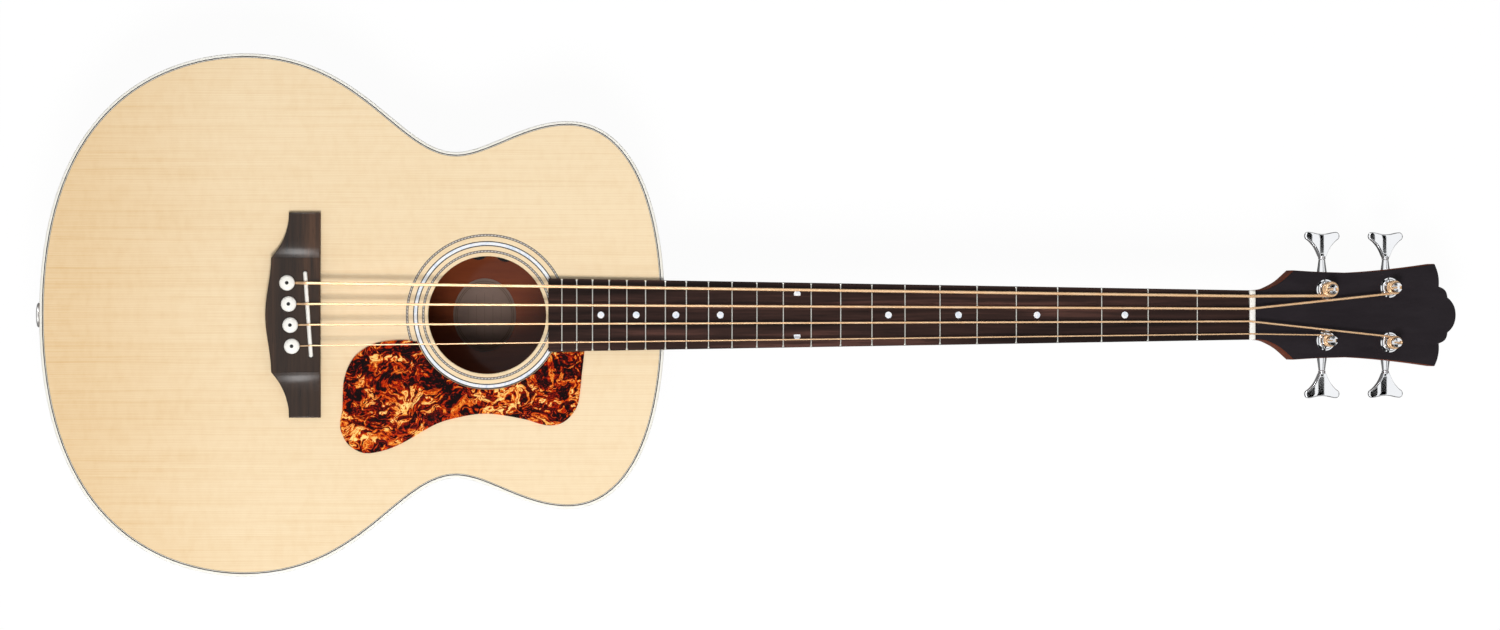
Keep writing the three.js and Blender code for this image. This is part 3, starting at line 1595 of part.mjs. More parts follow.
// The closed case of the gear and worm, screwed to the back of the head, with a nose for the key's shaft.
function housing(postY) {
  const low = gearHeight - housingHalfHeight;
  const high = headBack - seatGap;
  const middle = wormOffset / 2;
  const plan = new THREE.Shape();
  const [x1, x2] = [middle - housingHalfLength, middle + housingHalfLength];
  const c = housingCorner;
  plan.moveTo(x1 + c, -housingHalfWidth);
  plan.lineTo(x2 - c, -housingHalfWidth);
  plan.lineTo(x2, -housingHalfWidth + c);
  plan.lineTo(x2, housingHalfWidth - c);
  plan.lineTo(x2 - c, housingHalfWidth);
  plan.lineTo(x1 + c, housingHalfWidth);
  plan.lineTo(x1, housingHalfWidth - c);
  plan.lineTo(x1, -housingHalfWidth + c);
  const nose = latheZ([
    [0, 0],
    [noseRadius, 0],
    [noseRadius, housingHalfWidth + c],
    [noseTipRadius, noseReach - postY],
    [0, noseReach - postY],
  ], holeSegments).rotateX(-Math.PI / 2).translate(wormOffset, 0, gearHeight);
  const gearRoom = gearPitchRadius + gearModule + runGap;
  const gearTop = gearHeight + gearThickness / 2 + runGap;
  const gearLow = gearHeight - gearThickness / 2 - runGap;
  const wormRoom = wormPitchRadius + gearModule + runGap;
  const wormHalf = (wormTurns * wormPitch) / 2 + runGap;
  const keyBore = rodY(keyShaftRadius + runGap, -wormHalf - housingWall, noseReach, wormSides);
  const cuts = [
    rodZ(gearRoom, gearLow, gearTop, holeSegments),
    rodZ(postRadius + runGap, gearHeight, high + overrun, holeSegments),
    rodY(wormRoom, -wormHalf, wormHalf, holeSegments).translate(wormOffset, 0, gearHeight),
    keyBore.translate(wormOffset, 0, gearHeight),
  ];
  let made = solid(extruded(plan, low, high)).add(solid(nose));
  cuts.forEach((cut) => {
    made = made.subtract(solid(cut));
  });
  return geometryOf(made);
}

// Assembly

const guitar = new THREE.Group();
const bodyGroup = new THREE.Group();
const neckGroup = new THREE.Group();
const headGroup = new THREE.Group();
headGroup.position.set(headX, 0, headZ);
headGroup.rotation.y = headTilt;
guitar.add(bodyGroup, neckGroup, headGroup);

bodyGroup.add(
  piece("soundboard", soundboard(), spruce, 0.45),
  piece("back_plate", domedPlate(plateInset, backZ, backInside), mahogany, 0.45),
  piece("side_bass", side(1), mahogany, 0.45),
  piece("side_treble", side(-1), mahogany, 0.45),
  piece("top_lining", topLining(), maple, 0.8),
  piece("back_lining", backLining(), maple, 0.8),
  piece("neck_block", neckBlock(), mahogany, 0.8),
  piece("tail_block", tailBlock(), mahogany, 0.8),
  piece("x_brace_over", crossBrace(1), spruce, 0.8),
  piece("x_brace_under", crossBrace(-1), spruce, 0.8),
  piece("upper_brace", upperBrace(), spruce, 0.8),
  piece("tone_bar_front", toneBar(toneBarFront), spruce, 0.8),
  piece("tone_bar_rear", toneBar(toneBarRear), spruce, 0.8),
  piece("bridge_plate", bridgePlate(), maple, 0.8),
  piece("top_binding", band(0, bindingWidth, () => bodyDepth - bindingHeight, flatTop), ivory, 0.4),
  piece("back_binding", band(0, bindingWidth, backZ, (x) => rimZ(x) + bindingHeight), ivory, 0.4),
  ...rosetteRings.map((ring) => piece(ring.name, rosetteRing(ring), ring.color, 0.3)),
  piece("pickguard", pickguard(), tortoiseshell, 0.2),
  piece("bridge", bridge(), rosewood, 0.55),
  piece("saddle", saddle(), bone, 0.35),
  piece("pickup_strip", pickupStrip(), brass, 0.4, 0.8),
  piece("preamp_case", preampCase(), black, 0.5),
  piece("battery", battery(), black, 0.4),
  piece("endpin_jack", endpinJack(), chrome, 0.25, 1),
  piece("paper_label", paperLabel(), paper, 0.9),
);

wheelFromCentre.forEach((along, i) => {
  const wheel = piece(wheelNames[i], thumbwheel(), black, 0.5);
  wheel.position.set(soundholeX + along, wheelOut(along), wheelZ);
  bodyGroup.add(wheel);
});

neckGroup.add(
  piece("neck", neck(), mahogany, 0.4),
  piece("heel_cap", heelCap(), ivory, 0.4),
  piece("fretboard", fretboard(), rosewood, 0.5),
  piece("nut", nut(), bone, 0.35),
  piece("truss_rod", trussRodPiece(), steel, 0.4, 1),
);
const rodNut = piece("truss_rod_nut", trussRodNut(), steel, 0.4, 1);
rodNut.position.set(neckBlockBack - seatGap - trussNutLength / 2, 0, trussRodZ);
neckGroup.add(rodNut);

headGroup.add(piece("headstock_veneer", headstockVeneer(), black, 0.4));

strings.forEach((string, index) => {
  bodyGroup.add(piece(`bridge_pin_${string.name}`, bridgePin(string), bone, 0.35));
  guitar.add(piece(`string_${string.name}`, stringSolid(string, index), bronze, 0.35, 1));
  headGroup.add(tuningMachine(string.name, machineOf(index)));
  const gap = leastWindingGap(string, index).toFixed(2);
  console.log(`string ${string.name}: least gap between turns ${gap} mm`);
});

// The four pieces of one machine; those on the -Y side are mirror images.
function tuningMachine(name, { x, y, sign }) {
  const group = new THREE.Group();
  group.position.set(x, y, 0);
  const handed = (geometry) => (sign > 0 ? geometry : mirrored(geometry));
  const out = Math.abs(y);
  const keyMesh = piece(`tuner_${name}_key`, handed(key(out)), chrome, 0.1, 1);
  keyMesh.position.set(wormOffset, 0, gearHeight);
  group.add(
    piece(`tuner_${name}_housing`, handed(housing(out)), chrome, 0.15, 1),
    piece(`tuner_${name}_post`, handed(post()), chrome, 0.12, 1),
    piece(`tuner_${name}_bushing`, handed(bushing()), chrome, 0.12, 1),
    keyMesh,
  );
  return group;
}

// The finished object stands with the middle of its footprint at the origin.
const extent = new THREE.Box3().setFromObject(guitar);
guitar.position.set(-(extent.min.x + extent.max.x) / 2, -(extent.min.y + extent.max.y) / 2, -extent.min.z);

export default guitar;
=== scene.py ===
"""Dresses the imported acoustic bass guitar: fine shapes, materials, studio and camera.

Lengths are in millimetres and places in the model's own frame: x is 0 under the saddle, z is 0 under
the back, +Y is the side of the thickest string. Meshes are turned into the row frame when they are made.
"""

import math

import bmesh
import bpy
import numpy as np
from mathutils import Matrix, Vector

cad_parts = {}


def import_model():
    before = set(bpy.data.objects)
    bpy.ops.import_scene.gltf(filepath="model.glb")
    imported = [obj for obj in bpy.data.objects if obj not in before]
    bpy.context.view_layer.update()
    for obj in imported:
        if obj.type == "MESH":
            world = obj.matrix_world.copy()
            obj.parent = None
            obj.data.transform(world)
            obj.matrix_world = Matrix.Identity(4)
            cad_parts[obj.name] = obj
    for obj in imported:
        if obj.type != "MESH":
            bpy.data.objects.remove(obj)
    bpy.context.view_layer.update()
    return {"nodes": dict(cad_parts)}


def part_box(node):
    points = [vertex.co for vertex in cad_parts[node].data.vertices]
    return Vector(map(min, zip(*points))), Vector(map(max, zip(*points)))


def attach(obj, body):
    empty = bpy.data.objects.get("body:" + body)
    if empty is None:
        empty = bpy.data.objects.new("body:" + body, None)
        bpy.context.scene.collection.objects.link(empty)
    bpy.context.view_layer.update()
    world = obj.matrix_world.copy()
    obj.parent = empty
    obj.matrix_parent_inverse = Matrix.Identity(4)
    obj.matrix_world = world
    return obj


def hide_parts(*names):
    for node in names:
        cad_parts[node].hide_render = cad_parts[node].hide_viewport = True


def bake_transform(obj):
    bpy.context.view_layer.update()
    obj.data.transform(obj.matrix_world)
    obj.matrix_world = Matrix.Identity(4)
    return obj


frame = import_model()

# Clearances: between faces that rest on each other, round what runs, and how far an inlay stands proud
SEAT, RUN, PROUD = 0.2, 0.3, 0.02

# Scale and body
SCALE = 781
FRETS, JOIN_FRET = 23, 17
BODY_END = SCALE * 2 ** (-JOIN_FRET / 12)
BODY_LENGTH = 515.4
BODY_TAIL = BODY_END - BODY_LENGTH
LOWER_X, WAIST_X, UPPER_X = BODY_END - 346.6, BODY_END - 173.4, BODY_END - 80.6
LOWER, WAIST, UPPER = 216.1, 135, 160.9
OUTLINE_SHARES = [0.919, 0.244, 0.555, 0.263, 0.276, 0.404, 0.606, 0.649]
OUTLINE_STEPS = [40, 28, 24, 32]
TOP, PLATE = 122, 3
TOP_UNDER = TOP - PLATE
DOME_X = LOWER_X + 0.43 * (WAIST_X - LOWER_X)
RIM_TAIL, RIM_RISE, DOME_LOW = 18, 12, 0.4
SIDE, BINDING, BINDING_HEIGHT = 2.5, 2.2, 6.5
PURFLING = [0, 0.8, 1.2, 1.5]
JACK_Z = 70

# Soundhole, rosette, and what is seen through the hole
BOARD_END = SCALE * 2 ** (-FRETS / 12) - 11.2
HOLE_X = BOARD_END - 50.6
HOLE_R = 48.8
GLUED = TOP + 0.05
INLAY = 1
RINGS = {"inner": (51.8, 53.8), "pearl": (57.1, 61.3), "outer": (65.1, 67.1)}
RING_SEGMENTS = 128
LABEL_X, LABEL_LENGTH, LABEL_WIDTH = HOLE_X - 4, 27, 31.5
WHEEL_R = 8.5

# Fretboard and nut
BOARD_TOP = TOP + SEAT + 6.5
FRET_RISE = 1.1
FRET_TOP = BOARD_TOP + FRET_RISE
END_HALF, NUT_HALF = 30.35, 20.7
NUT = 5.3

# Bridge, pickguard, saddle and pins
BRIDGE_LOW = TOP + SEAT
BRIDGE_TOP = BRIDGE_LOW + 9.2
BRIDGE_FRONT, BRIDGE_WING, BRIDGE_BACK = 8.0, -18.1, -32.4
BRIDGE_HALF, CENTRE_HALF = 84.8, 47.2
EDGE = 0.9
GUARD_WIDTH, GUARD_FROM_BRIDGE, GUARD_GAP, GUARD_THICK = 114.2, 15.8, 0.5, 1.6
SADDLE_BASS, SADDLE_TREBLE = Vector((-4.5, 36.1)), Vector((0.45, -34.9))
SADDLE_TOP, SADDLE_SLOT = TOP + 12.6, BRIDGE_TOP - 6.6
PIN_R, PIN_HOLE, PIN_HEAD, PIN_LENGTH = 6.4, 4.2, 3.6, 27
PIN_SEAT = BRIDGE_TOP + RUN
FLUTE = 3.65
HOOK_Z = TOP_UNDER - SEAT - 3
BALL_R, BALL_HALF = 2.7, 2.5

# Strings, thickest first
NAMES = ["e", "a", "d", "g"]
DIAMETERS = [2.54, 2.03, 1.65, 1.14]
TURNS = [2.25, 2.5, 3, 3.25]
TURN_STEPS, TURN_GAP = 28, 0.46
SADDLE_Y = np.linspace(26.3, -25.2, 4)
NUT_Y = np.linspace(15.75, -15.75, 4)
PIN_X = np.linspace(-19.2, -15.3, 4)
PIN_Y = np.linspace(26.5, -25.7, 4)

# Headstock and machines, in the frame of the headstock's face
TILT = math.radians(13)
HEAD_X, HEAD_Z = SCALE + NUT + 1, FRET_TOP - 4.5
HEAD_BACK = -16.0
VENEER = 1.5
POSTS = [(63.6, 21.5), (122.7, 23.2), (122.7, -23.2), (63.6, -21.5)]
POST_R, FIRST_TURN, POST_SLOT = 3.7, 5.4, 12.3
GEAR_Z = HEAD_BACK - 6.9
GEAR_R, GEAR_HALF, TEETH = 5.4, 1.5, 20
WORM_OUT = 7.4
CASE_LOW = GEAR_Z - 6.2
NOSE_END = 47.2
HEAD = Matrix.Translation((HEAD_X, 0, HEAD_Z)) @ Matrix.Rotation(TILT, 4, "Y")

# Heel, tenon and neck
HEEL_LOW, HEEL_LENGTH, HEEL_HALF = 33.2, 21, 13
NECK_DEPTH, NECK_SIDE = 16.5, 3.2

X_OFFSET = SCALE - SEAT - 1000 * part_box("fretboard")[1].x
ROOT = "instrument"


# Shapes: a pair of points and faces, in millimetres


def join(*shapes):
    points, faces, start = [], [], 0
    for p, f in shapes:
        points.append(np.asarray(p, float))
        faces += [tuple(i + start for i in face) for face in f]
        start += len(p)
    return np.concatenate(points), faces


def loft(loops, ring=False, capped=True):
    """A skin through loops that have as many points each."""
    loops = np.asarray(loops, float)
    m, n = loops.shape[:2]
    faces = []
    for j in range(m if ring else m - 1):
        a, b = j * n, (j + 1) % m * n
        faces += [(a + i, a + (i + 1) % n, b + (i + 1) % n, b + i) for i in range(n)]
    if capped and not ring:
        faces += [tuple(range(n - 1, -1, -1)), tuple(range((m - 1) * n, m * n))]
    return loops.reshape(-1, 3), faces


def around(count):
    """Angles of points spread evenly round a circle."""
    return np.linspace(0, 2 * math.pi, count, endpoint=False)


def lathe(profile, segments):
    """A turned shape about the Z axis, from [radius, height] pairs."""
    turn = around(segments)
    ring = np.stack([np.cos(turn), np.sin(turn), np.zeros(segments)], 1)
    loops = [ring * [r, r, 1] + [0, 0, z] for r, z in profile]
    return loft(loops, capped=False)


def rod(radius, z1, z2, segments=24):
    return lathe([(0, z1), (radius, z1), (radius, z2), (0, z2)], segments)


def flat_ring(inner, outer, z1, z2):
    profile = [(inner, z1), (outer, z1), (outer, z2), (inner, z2), (inner, z1)]
    return lathe(profile, RING_SEGMENTS)


def placed(shape, matrix):
    points, faces = shape
    m = np.array(matrix)
    return np.asarray(points) @ m[:3, :3].T + m[:3, 3], faces


def moved(shape, x=0, y=0, z=0):
    return np.asarray(shape[0]) + [x, y, z], shape[1]


def turned(shape, angle, axis):
    return placed(shape, Matrix.Rotation(angle, 4, axis))


def mirrored(shape):
    return np.asarray(shape[0]) * [1, -1, 1], shape[1]


def box(x1, x2, y1, y2, z1, z2):
    """A block for cutting with."""
    low = [(x1, y1, z1), (x2, y1, z1), (x2, y2, z1), (x1, y2, z1)]
    return loft([low, [(x, y, z2) for x, y, _ in low]])


def wall(profile, y1, y2):
    """A profile of x and z pairs, from y1 to y2."""
    return loft([[(x, y, z) for x, z in profile] for y in (y1, y2)])


def circle(x, y, r, n=96):
    turn = around(n)
    return np.stack([x + r * np.cos(turn), y + r * np.sin(turn)], 1)


def spline(points, per=6):
    """A Catmull-Rom curve through points, open."""
    p = np.asarray(points, float)
    p = np.concatenate([[2 * p[0] - p[1]], p, [2 * p[-1] - p[-2]]])
    t = np.linspace(0, 1, per, endpoint=False)[:, None]
    made = []
    for i in range(1, len(p) - 2):
        a, b, c, d = p[i - 1 : i + 3]
        square, cube = 2 * a - 5 * b + 4 * c - d, 3 * b - a - 3 * c + d
        made.append(0.5 * (2 * b + (c - a) * t + square * t**2 + cube * t**3))
    return np.concatenate([*made, p[-2:-1]])


def curve_at(x, xs, ys):
    """A smooth height at x through rising places xs, without overshoot."""
    xs, ys = np.asarray(xs, float), np.asarray(ys, float)
    h, s = np.diff(xs), np.diff(ys) / np.diff(xs)
    before, after = s[:-1], s[1:]
    inner = np.where(before * after > 0, 2 * before * after / (before + after + 1e-12), 0)
    m = np.concatenate([[s[0]], inner, [s[-1]]])
    x = np.clip(x, xs[0], xs[-1])
    i = np.clip(np.searchsorted(xs, x) - 1, 0, len(h) - 1)
    t = (x - xs[i]) / h[i]
    a, b = 2 * t**3 - 3 * t**2 + 1, t**3 - 2 * t**2 + t
    c, d = 3 * t**2 - 2 * t**3, t**3 - t**2
    return a * ys[i] + b * h[i] * m[i] + c * ys[i + 1] + d * h[i] * m[i + 1]


def inset_loop(loop, inset):
    """A closed outline moved in along its normals."""
    along = np.roll(loop, -1, 0) - np.roll(loop, 1, 0)
    along /= np.linalg.norm(along, axis=1)[:, None]
    return loop + inset * np.stack([along[:, 1], -along[:, 0]], 1)


# Meshes and objects


def linked(name, data):
    """An object that shows its data in the scene."""
    obj = bpy.data.objects.new(name, data)
    bpy.context.scene.collection.objects.link(obj)
    return obj


def cleaned(mesh, near):
    """The mesh with its double points joined and its faces turned outwards."""
    work = bmesh.new()
    work.from_mesh(mesh)
    bmesh.ops.remove_doubles(work, verts=work.verts, dist=near)
    bmesh.ops.dissolve_degenerate(work, edges=work.edges, dist=near / 10)
    bmesh.ops.recalc_face_normals(work, faces=work.faces)
    work.to_mesh(mesh)
    work.free()
    return mesh


def working(shape):
    """A shape as an object that modifiers can work on."""
    mesh = bpy.data.meshes.new("shape")
    mesh.from_pydata(np.asarray(shape[0]).tolist(), [], shape[1])
    return linked("work", cleaned(mesh, 1e-4))


def evaluated(obj):
    """The shape of an object with its modifiers, which is then removed."""
    bpy.context.view_layer.update()
    graph = bpy.context.evaluated_depsgraph_get()
    mesh = bpy.data.meshes.new_from_object(obj.evaluated_get(graph), depsgraph=graph)
    bpy.data.objects.remove(obj)
    points = np.zeros(len(mesh.vertices) * 3)
    mesh.vertices.foreach_get("co", points)
    return points.reshape(-1, 3), [tuple(p.vertices) for p in mesh.polygons]


def carve(shape, cutter, operation="DIFFERENCE"):
    obj, tool = working(shape), working(cutter)
    cut = obj.modifiers.new("cut", "BOOLEAN")
    cut.object, cut.operation, cut.solver, cut.use_self = tool, operation, "EXACT", True
    made = evaluated(obj)
    bpy.data.objects.remove(tool)
    return made


def organic(shape, voxel, rounds, keep):
    """Overlapping solids grown into one smooth skin."""
    obj = working(shape)
    grow = obj.modifiers.new("grow", "REMESH")
    grow.mode, grow.voxel_size = "VOXEL", voxel
    ease = obj.modifiers.new("ease", "SMOOTH")
    ease.factor, ease.iterations = 0.5, rounds
    obj.modifiers.new("thin", "DECIMATE").ratio = keep
    return evaluated(obj)


def plate(outlines, z1, z2, bevel=0.0, rings=2):
    """A flat plate from its outline and the outlines of its holes, with rounded edges."""
    curve = bpy.data.curves.new("plate", "CURVE")
    curve.dimensions, curve.fill_mode = "2D", "BOTH"
    curve.extrude = (z2 - z1) / 2 - bevel
    curve.bevel_depth, curve.offset, curve.bevel_resolution = bevel, -bevel, rings
    for outline in outlines:
        line = curve.splines.new("POLY")
        line.points.add(len(outline) - 1)
        line.points.foreach_set("co", np.array([(x, y, 0, 1) for x, y in outline], float).ravel())
        line.use_cyclic_u = True
    return moved(evaluated(linked("plate", curve)), z=(z1 + z2) / 2)


def row(points):
    """Points of the model's own frame in the row frame, in metres."""
    return (np.asarray(points, float) - [X_OFFSET, 0, 0]) / 1000


def add(name, shape, slot, replaces=(), body=ROOT, look=None, sharp=35, along=None):
    """A piece of the object, with its material and body; the material is the look's, or else the slot's.
    along gives each point a UV.
    """
    mesh = bpy.data.meshes.new(name)
    mesh.from_pydata(row(shape[0]).tolist(), [], shape[1])
    if along is not None:
        layer = mesh.uv_layers.new(name="along")
        where = np.zeros(len(mesh.loops), int)
        mesh.loops.foreach_get("vertex_index", where)
        layer.data.foreach_set("uv", np.asarray(along, float)[where].ravel())
    cleaned(mesh, 1e-7)
    mesh.polygons.foreach_set("use_smooth", np.ones(len(mesh.polygons), bool))
    mesh.set_sharp_from_angle(angle=math.radians(sharp))
    mesh.materials.append(LOOKS[look or slot])
    obj = linked(name, mesh)
    if replaces:
        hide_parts(*replaces)
    if body:
        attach(obj, body)
    return obj


# Materials


def linear(color):
    """An sRGB colour from 0 to 255 as the linear colour of a shader."""
    c = np.array(color, float) / 255
    return (*np.where(c <= 0.04045, c / 12.92, ((c + 0.055) / 1.055) ** 2.4), 1)


LOOKS = {}


class Nodes:
    """A node tree, with short ways to add to it."""

    def __init__(self, owner):
        owner.use_nodes = True
        self.tree = owner.node_tree

    def fill(self, node, values):
        """Sets inputs of a node, or links them where the value is another node's output."""
        for key, value in values.items():
            socket = node.inputs[key]
            if isinstance(value, bpy.types.NodeSocket):
                self.tree.links.new(value, socket)
            else:
                socket.default_value = value

    def node(self, kind, out, values, **settings):
        """An output of a new node, whose inputs get the values and whose properties the settings."""
        made = self.tree.nodes.new("ShaderNode" + kind)
        for key, value in settings.items():
            setattr(made, key, value)
        self.fill(made, values)
        return made.outputs[out]

    def split(self, vector):
        """The outputs X, Y and Z of a vector."""
        made = self.tree.nodes.new("ShaderNodeSeparateXYZ")
        self.fill(made, {0: vector})
        return made.outputs

    def math(self, how, a, b=0.0):
        return self.node("Math", 0, {0: a, 1: b}, operation=how)

    def ray(self, kind):
        """1 to rays of a kind, and 0 to others."""
        return self.node("LightPath", f"Is {kind} Ray", {})

    def end(self, kind, shader):
        self.fill(self.tree.nodes.new("ShaderNodeOutput" + kind), {0: shader})

    def total(self, *parts):
        """The sum of values, each times its share."""
        made = 0.0
        for value, share in parts:
            made = self.math("ADD", self.math("MULTIPLY", value, share), made)
        return made


class Look(Nodes):
    """A material that is kept in LOOKS, with the textures and ramps that looks are made of."""

    def __init__(self, name, roughness=0.5, metallic=0.0, coat=0.0, coat_roughness=0.1, specular=0.5):
        LOOKS[name] = bpy.data.materials.new(name)
        super().__init__(LOOKS[name])
        self.shader = self.tree.nodes["Principled BSDF"]
        values = {"Roughness": roughness, "Metallic": metallic, "Specular IOR Level": specular}
        self.fill(self.shader, {**values, "Coat Weight": coat, "Coat Roughness": coat_roughness})

    def mapping(self, vector, scale, shift=(0, 0, 0), turn=(0, 0, 0)):
        values = {"Vector": vector, "Scale": scale, "Location": shift, "Rotation": turn}
        return self.node("Mapping", "Vector", values)

    def place(self, scale=(1, 1, 1), shift=(0, 0, 0), turn=(0, 0, 0), source="Object"):
        return self.mapping(self.node("TexCoord", source, {}), scale, shift, turn)

    def folded(self, scale):
        """Object places mirrored about the middle line, as in two matched halves."""
        x, y, z = self.split(self.place())
        here = self.node("CombineXYZ", "Vector", {"X": x, "Y": self.math("ABSOLUTE", y), "Z": z})
        return self.mapping(here, scale)

    def noise(self, vector, detail=3.0, rough=0.5, bend=0.0):
        values = {"Vector": vector, "Scale": 1.0, "Detail": detail, "Roughness": rough}
        return self.node("TexNoise", 0, {**values, "Distortion": bend})

    def even_noise(self, size, detail, rough=0.5, bend=0.0):
        return self.noise(self.place((size, size, size)), detail, rough, bend)

    def fit(self, value, low, high, to_low=0.0, to_high=1.0):
        values = {"Value": value, "From Min": low, "From Max": high, "To Min": to_low, "To Max": to_high}
        return self.node("MapRange", 0, values, clamp=True)

    def ramp(self, value, stops):
        made = self.tree.nodes.new("ShaderNodeValToRGB")
        self.fill(made, {0: value})
        steps = made.color_ramp.elements
        while len(steps) < len(stops):
            steps.new(0.5)
        for step, (at, color) in zip(steps, stops):
            step.position, step.color = at, linear(color)
        return made.outputs[0]

    def drifting(self, value, color, shade):
        """A colour that drifts to its shade with a noise."""
        return self.ramp(self.fit(value, 0.3, 0.7), [(0, color), (1, shade)])

    def mix(self, share, a, b, how="MIX"):
        return self.node("Mix", 2, {0: share, 6: a, 7: b}, data_type="RGBA", blend_type=how)

    def done(self, color, bump, strength, distance=0.0002, roughness=None):
        height = self.node("Bump", 0, {"Height": bump, "Strength": strength, "Distance": distance})
        self.fill(self.shader, {"Base Color": color, "Normal": height})
        if roughness is not None:
            self.fill(self.shader, {"Roughness": roughness})


def spruce(name, light, dark, coat):
    """Pale wood in two matched halves: lines, streaks and flecks of grain, wide bands and silk, and painted
    shade that darkens it towards the tail end.
    """
    look = Look(name, 0.42 if coat else 0.75, coat=coat, coat_roughness=0.14, specular=0.25)
    bands = {"Scale": 235.0, "Distortion": 5.0, "Detail": 2.0, "Detail Scale": 0.6, "Detail Roughness": 0.6}
    lines = look.node("TexWave", 1, {"Vector": look.folded((0.1, 1, 1)), **bands}, bands_direction="Y")
    streaks = look.noise(look.folded((2.5, 300, 60)), 5, 0.6)
    flecks = look.noise(look.folded((7, 560, 60)), 3, 0.6)
    wide = look.noise(look.folded((2.2, 34, 6)), 2)
    silk = look.noise(look.folded((160, 90, 60)), 3)
    tone = look.total(
        (look.fit(lines, 0.3, 1), 0.2),
        (look.fit(streaks, 0.48, 0.78), 0.2),
        (look.fit(flecks, 0.5, 0.75), 0.24),
        (look.fit(wide, 0.3, 0.7), 0.09),
        (look.fit(silk, 0.4, 0.75), 0.14),
    )
    # Painted shade: darker towards the tail end and a little lighter towards the neck, as light that falls
    # off along the top
    x = look.split(look.place())["X"]
    for start, end, painted_shade in ((-0.43, -0.56, 0.4), (-0.43, -0.2, -0.1)):
        tone = look.math("ADD", look.fit(x, start, end, 0, painted_shade), tone)
    look.done(look.ramp(tone, [(0, light), (1, dark)]), streaks, 0.04)


def wood(name, stops, stretch, roughness, coat=0.0, pores=0.5, where="Object", inside=None, specular=0.1):
    """Straight-grained wood. stops runs from its pale parts to its dark ones.

    Its grain follows Object places, the UV, or folded places. Faces that look up take the tint inside.
    """
    look = Look(name, roughness, coat=coat, coat_roughness=0.08, specular=specular)

    def grain(times, detail):
        scale = tuple(times * s for s in stretch)
        here = look.folded(scale) if where == "folded" else look.place(scale, source=where)
        return look.noise(here, detail, 0.6)

    broad, fine, pore = grain(0.35, 3), grain(1.6, 4), grain(5, 2)
    color = look.ramp(look.total((look.fit(broad, 0.3, 0.7), 0.55), (fine, 0.45)), stops)
    color = look.mix(look.fit(pore, 0.6, 0.72, 0, pores), color, linear(stops[-1][1]))
    if inside:
        up = look.split(look.node("NewGeometry", "Normal", {}))["Z"]
        color = look.mix(look.fit(up, -0.1, 0.1), color, look.mix(0.4, color, linear(inside)))
    look.done(color, pore, 0.08)


def plastic(name, color, shade, roughness=0.35, coat=0.0, bumps=0.03, specular=0.3):
    """A moulded or cut surface whose tone drifts a little."""
    look = Look(name, roughness, coat=coat, specular=specular)
    specks = look.even_noise(900, 2)
    rough = look.fit(specks, 0.3, 0.8, roughness * 0.85, min(1, roughness * 1.2))
    look.done(look.drifting(look.even_noise(30, 4), color, shade), specks, bumps, 0.0001, rough)


def metal(name, color, shade, roughness, brushed=(300, 300, 300)):
    look = Look(name, roughness, 1)
    marks = look.noise(look.place(brushed))
    rough = look.fit(marks, 0.3, 0.7, roughness * 0.8, min(1, roughness * 1.25))
    look.done(look.drifting(look.even_noise(25, 2), color, shade), marks, 0.005, 0.0001, rough)


def from_hole(look):
    """The place about the middle of the soundhole, and how far out from it."""
    here = look.place(shift=((X_OFFSET - HOLE_X) / 1000, 0, 0))
    flat = look.node("VectorMath", "Vector", {0: here, 1: (1, 1, 0)}, operation="MULTIPLY")
    return here, look.node("VectorMath", "Value", {0: flat}, operation="LENGTH")


def off_line(look, value, middle):
    """How far a value is from the middle of a line, to either side."""
    return look.math("ABSOLUTE", look.math("SUBTRACT", value, middle))


def edged(look, color, out, ring, line):
    """Dark lines along both edges of a ring of the rosette."""
    inner, outer = RINGS[ring]
    start = ((outer - inner) / 2 - line) / 1000
    share = look.fit(off_line(look, out, (inner + outer) / 2000), start, start + 0.00015)
    return look.mix(share, color, linear((48, 42, 42)))


def pearl(name, ring=None):
    look = Look(name, 0.16, coat=0.4, coat_roughness=0.03)
    cells = look.node("TexVoronoi", "Color", {"Vector": look.place(), "Scale": 240.0, "Randomness": 1.0})
    swirl = look.even_noise(160, 4, 0.6, 1.5)
    stops = [(0, (204, 218, 236)), (0.4, (236, 243, 252)), (0.7, (254, 253, 252)), (1, (226, 230, 244))]
    color = look.mix(0.05, look.ramp(look.fit(swirl, 0.3, 0.7), stops), cells, "SOFT_LIGHT")
    if ring:
        color = edged(look, color, from_hole(look)[1], ring, 0.95)
    look.done(color, swirl, 0.03)


SHELL_STOPS = [
    (0.26, (16, 6, 7)),
    (0.37, (64, 9, 7)),
    (0.49, (130, 18, 5)),
    (0.61, (190, 40, 6)),
    (0.71, (230, 92, 14)),
    (0.79, (252, 170, 62)),
    (0.87, (255, 224, 140)),
]


def shell(name):
    """Folded swirls of near-black, dark red, orange and honey under a gloss."""
    look = Look(name, 0.2, specular=0.06)
    turn = (0, 0, math.radians(-28))
    warp = look.node("TexNoise", "Color", {"Vector": look.place(), "Scale": 42.0, "Detail": 3.0})
    drift = look.node("VectorMath", "Vector", {0: warp, 3: 0.045}, operation="SCALE")
    here = look.node("VectorMath", "Vector", {0: look.place(turn=turn), 1: drift}, operation="ADD")
    swirl = look.noise(look.mapping(here, (60, 118, 90)), 4, 0.62, 1.3)
    patch = look.noise(look.place((44, 68, 60), turn=turn), 3, 0.55, 0.8)
    folds = look.math("PINGPONG", look.total((swirl, 7.0), (patch, 2.0)), 1.0)
    tone = look.total((folds, 0.62), (look.fit(patch, 0.32, 0.68), 0.38))
    look.done(look.ramp(tone, SHELL_STOPS), swirl, 0.01)


def rope(name, count, ring):
    """A thin ring of slanted dashes between two dark lines, about the middle of the soundhole."""
    look = Look(name, 0.4, coat=0.2)
    here, out = from_hole(look)
    turn = look.node("TexGradient", 1, {"Vector": here}, gradient_type="RADIAL")
    phase = look.total((turn, count), (out, 260))
    dash = look.math("SINE", look.math("MULTIPLY", phase, 2 * math.pi))
    color = look.ramp(look.fit(dash, -0.5, 0.5), [(0, (150, 144, 138)), (1, (214, 208, 200))])
    look.done(edged(look, color, out, ring, 0.62), dash, 0.03, 0.0001)


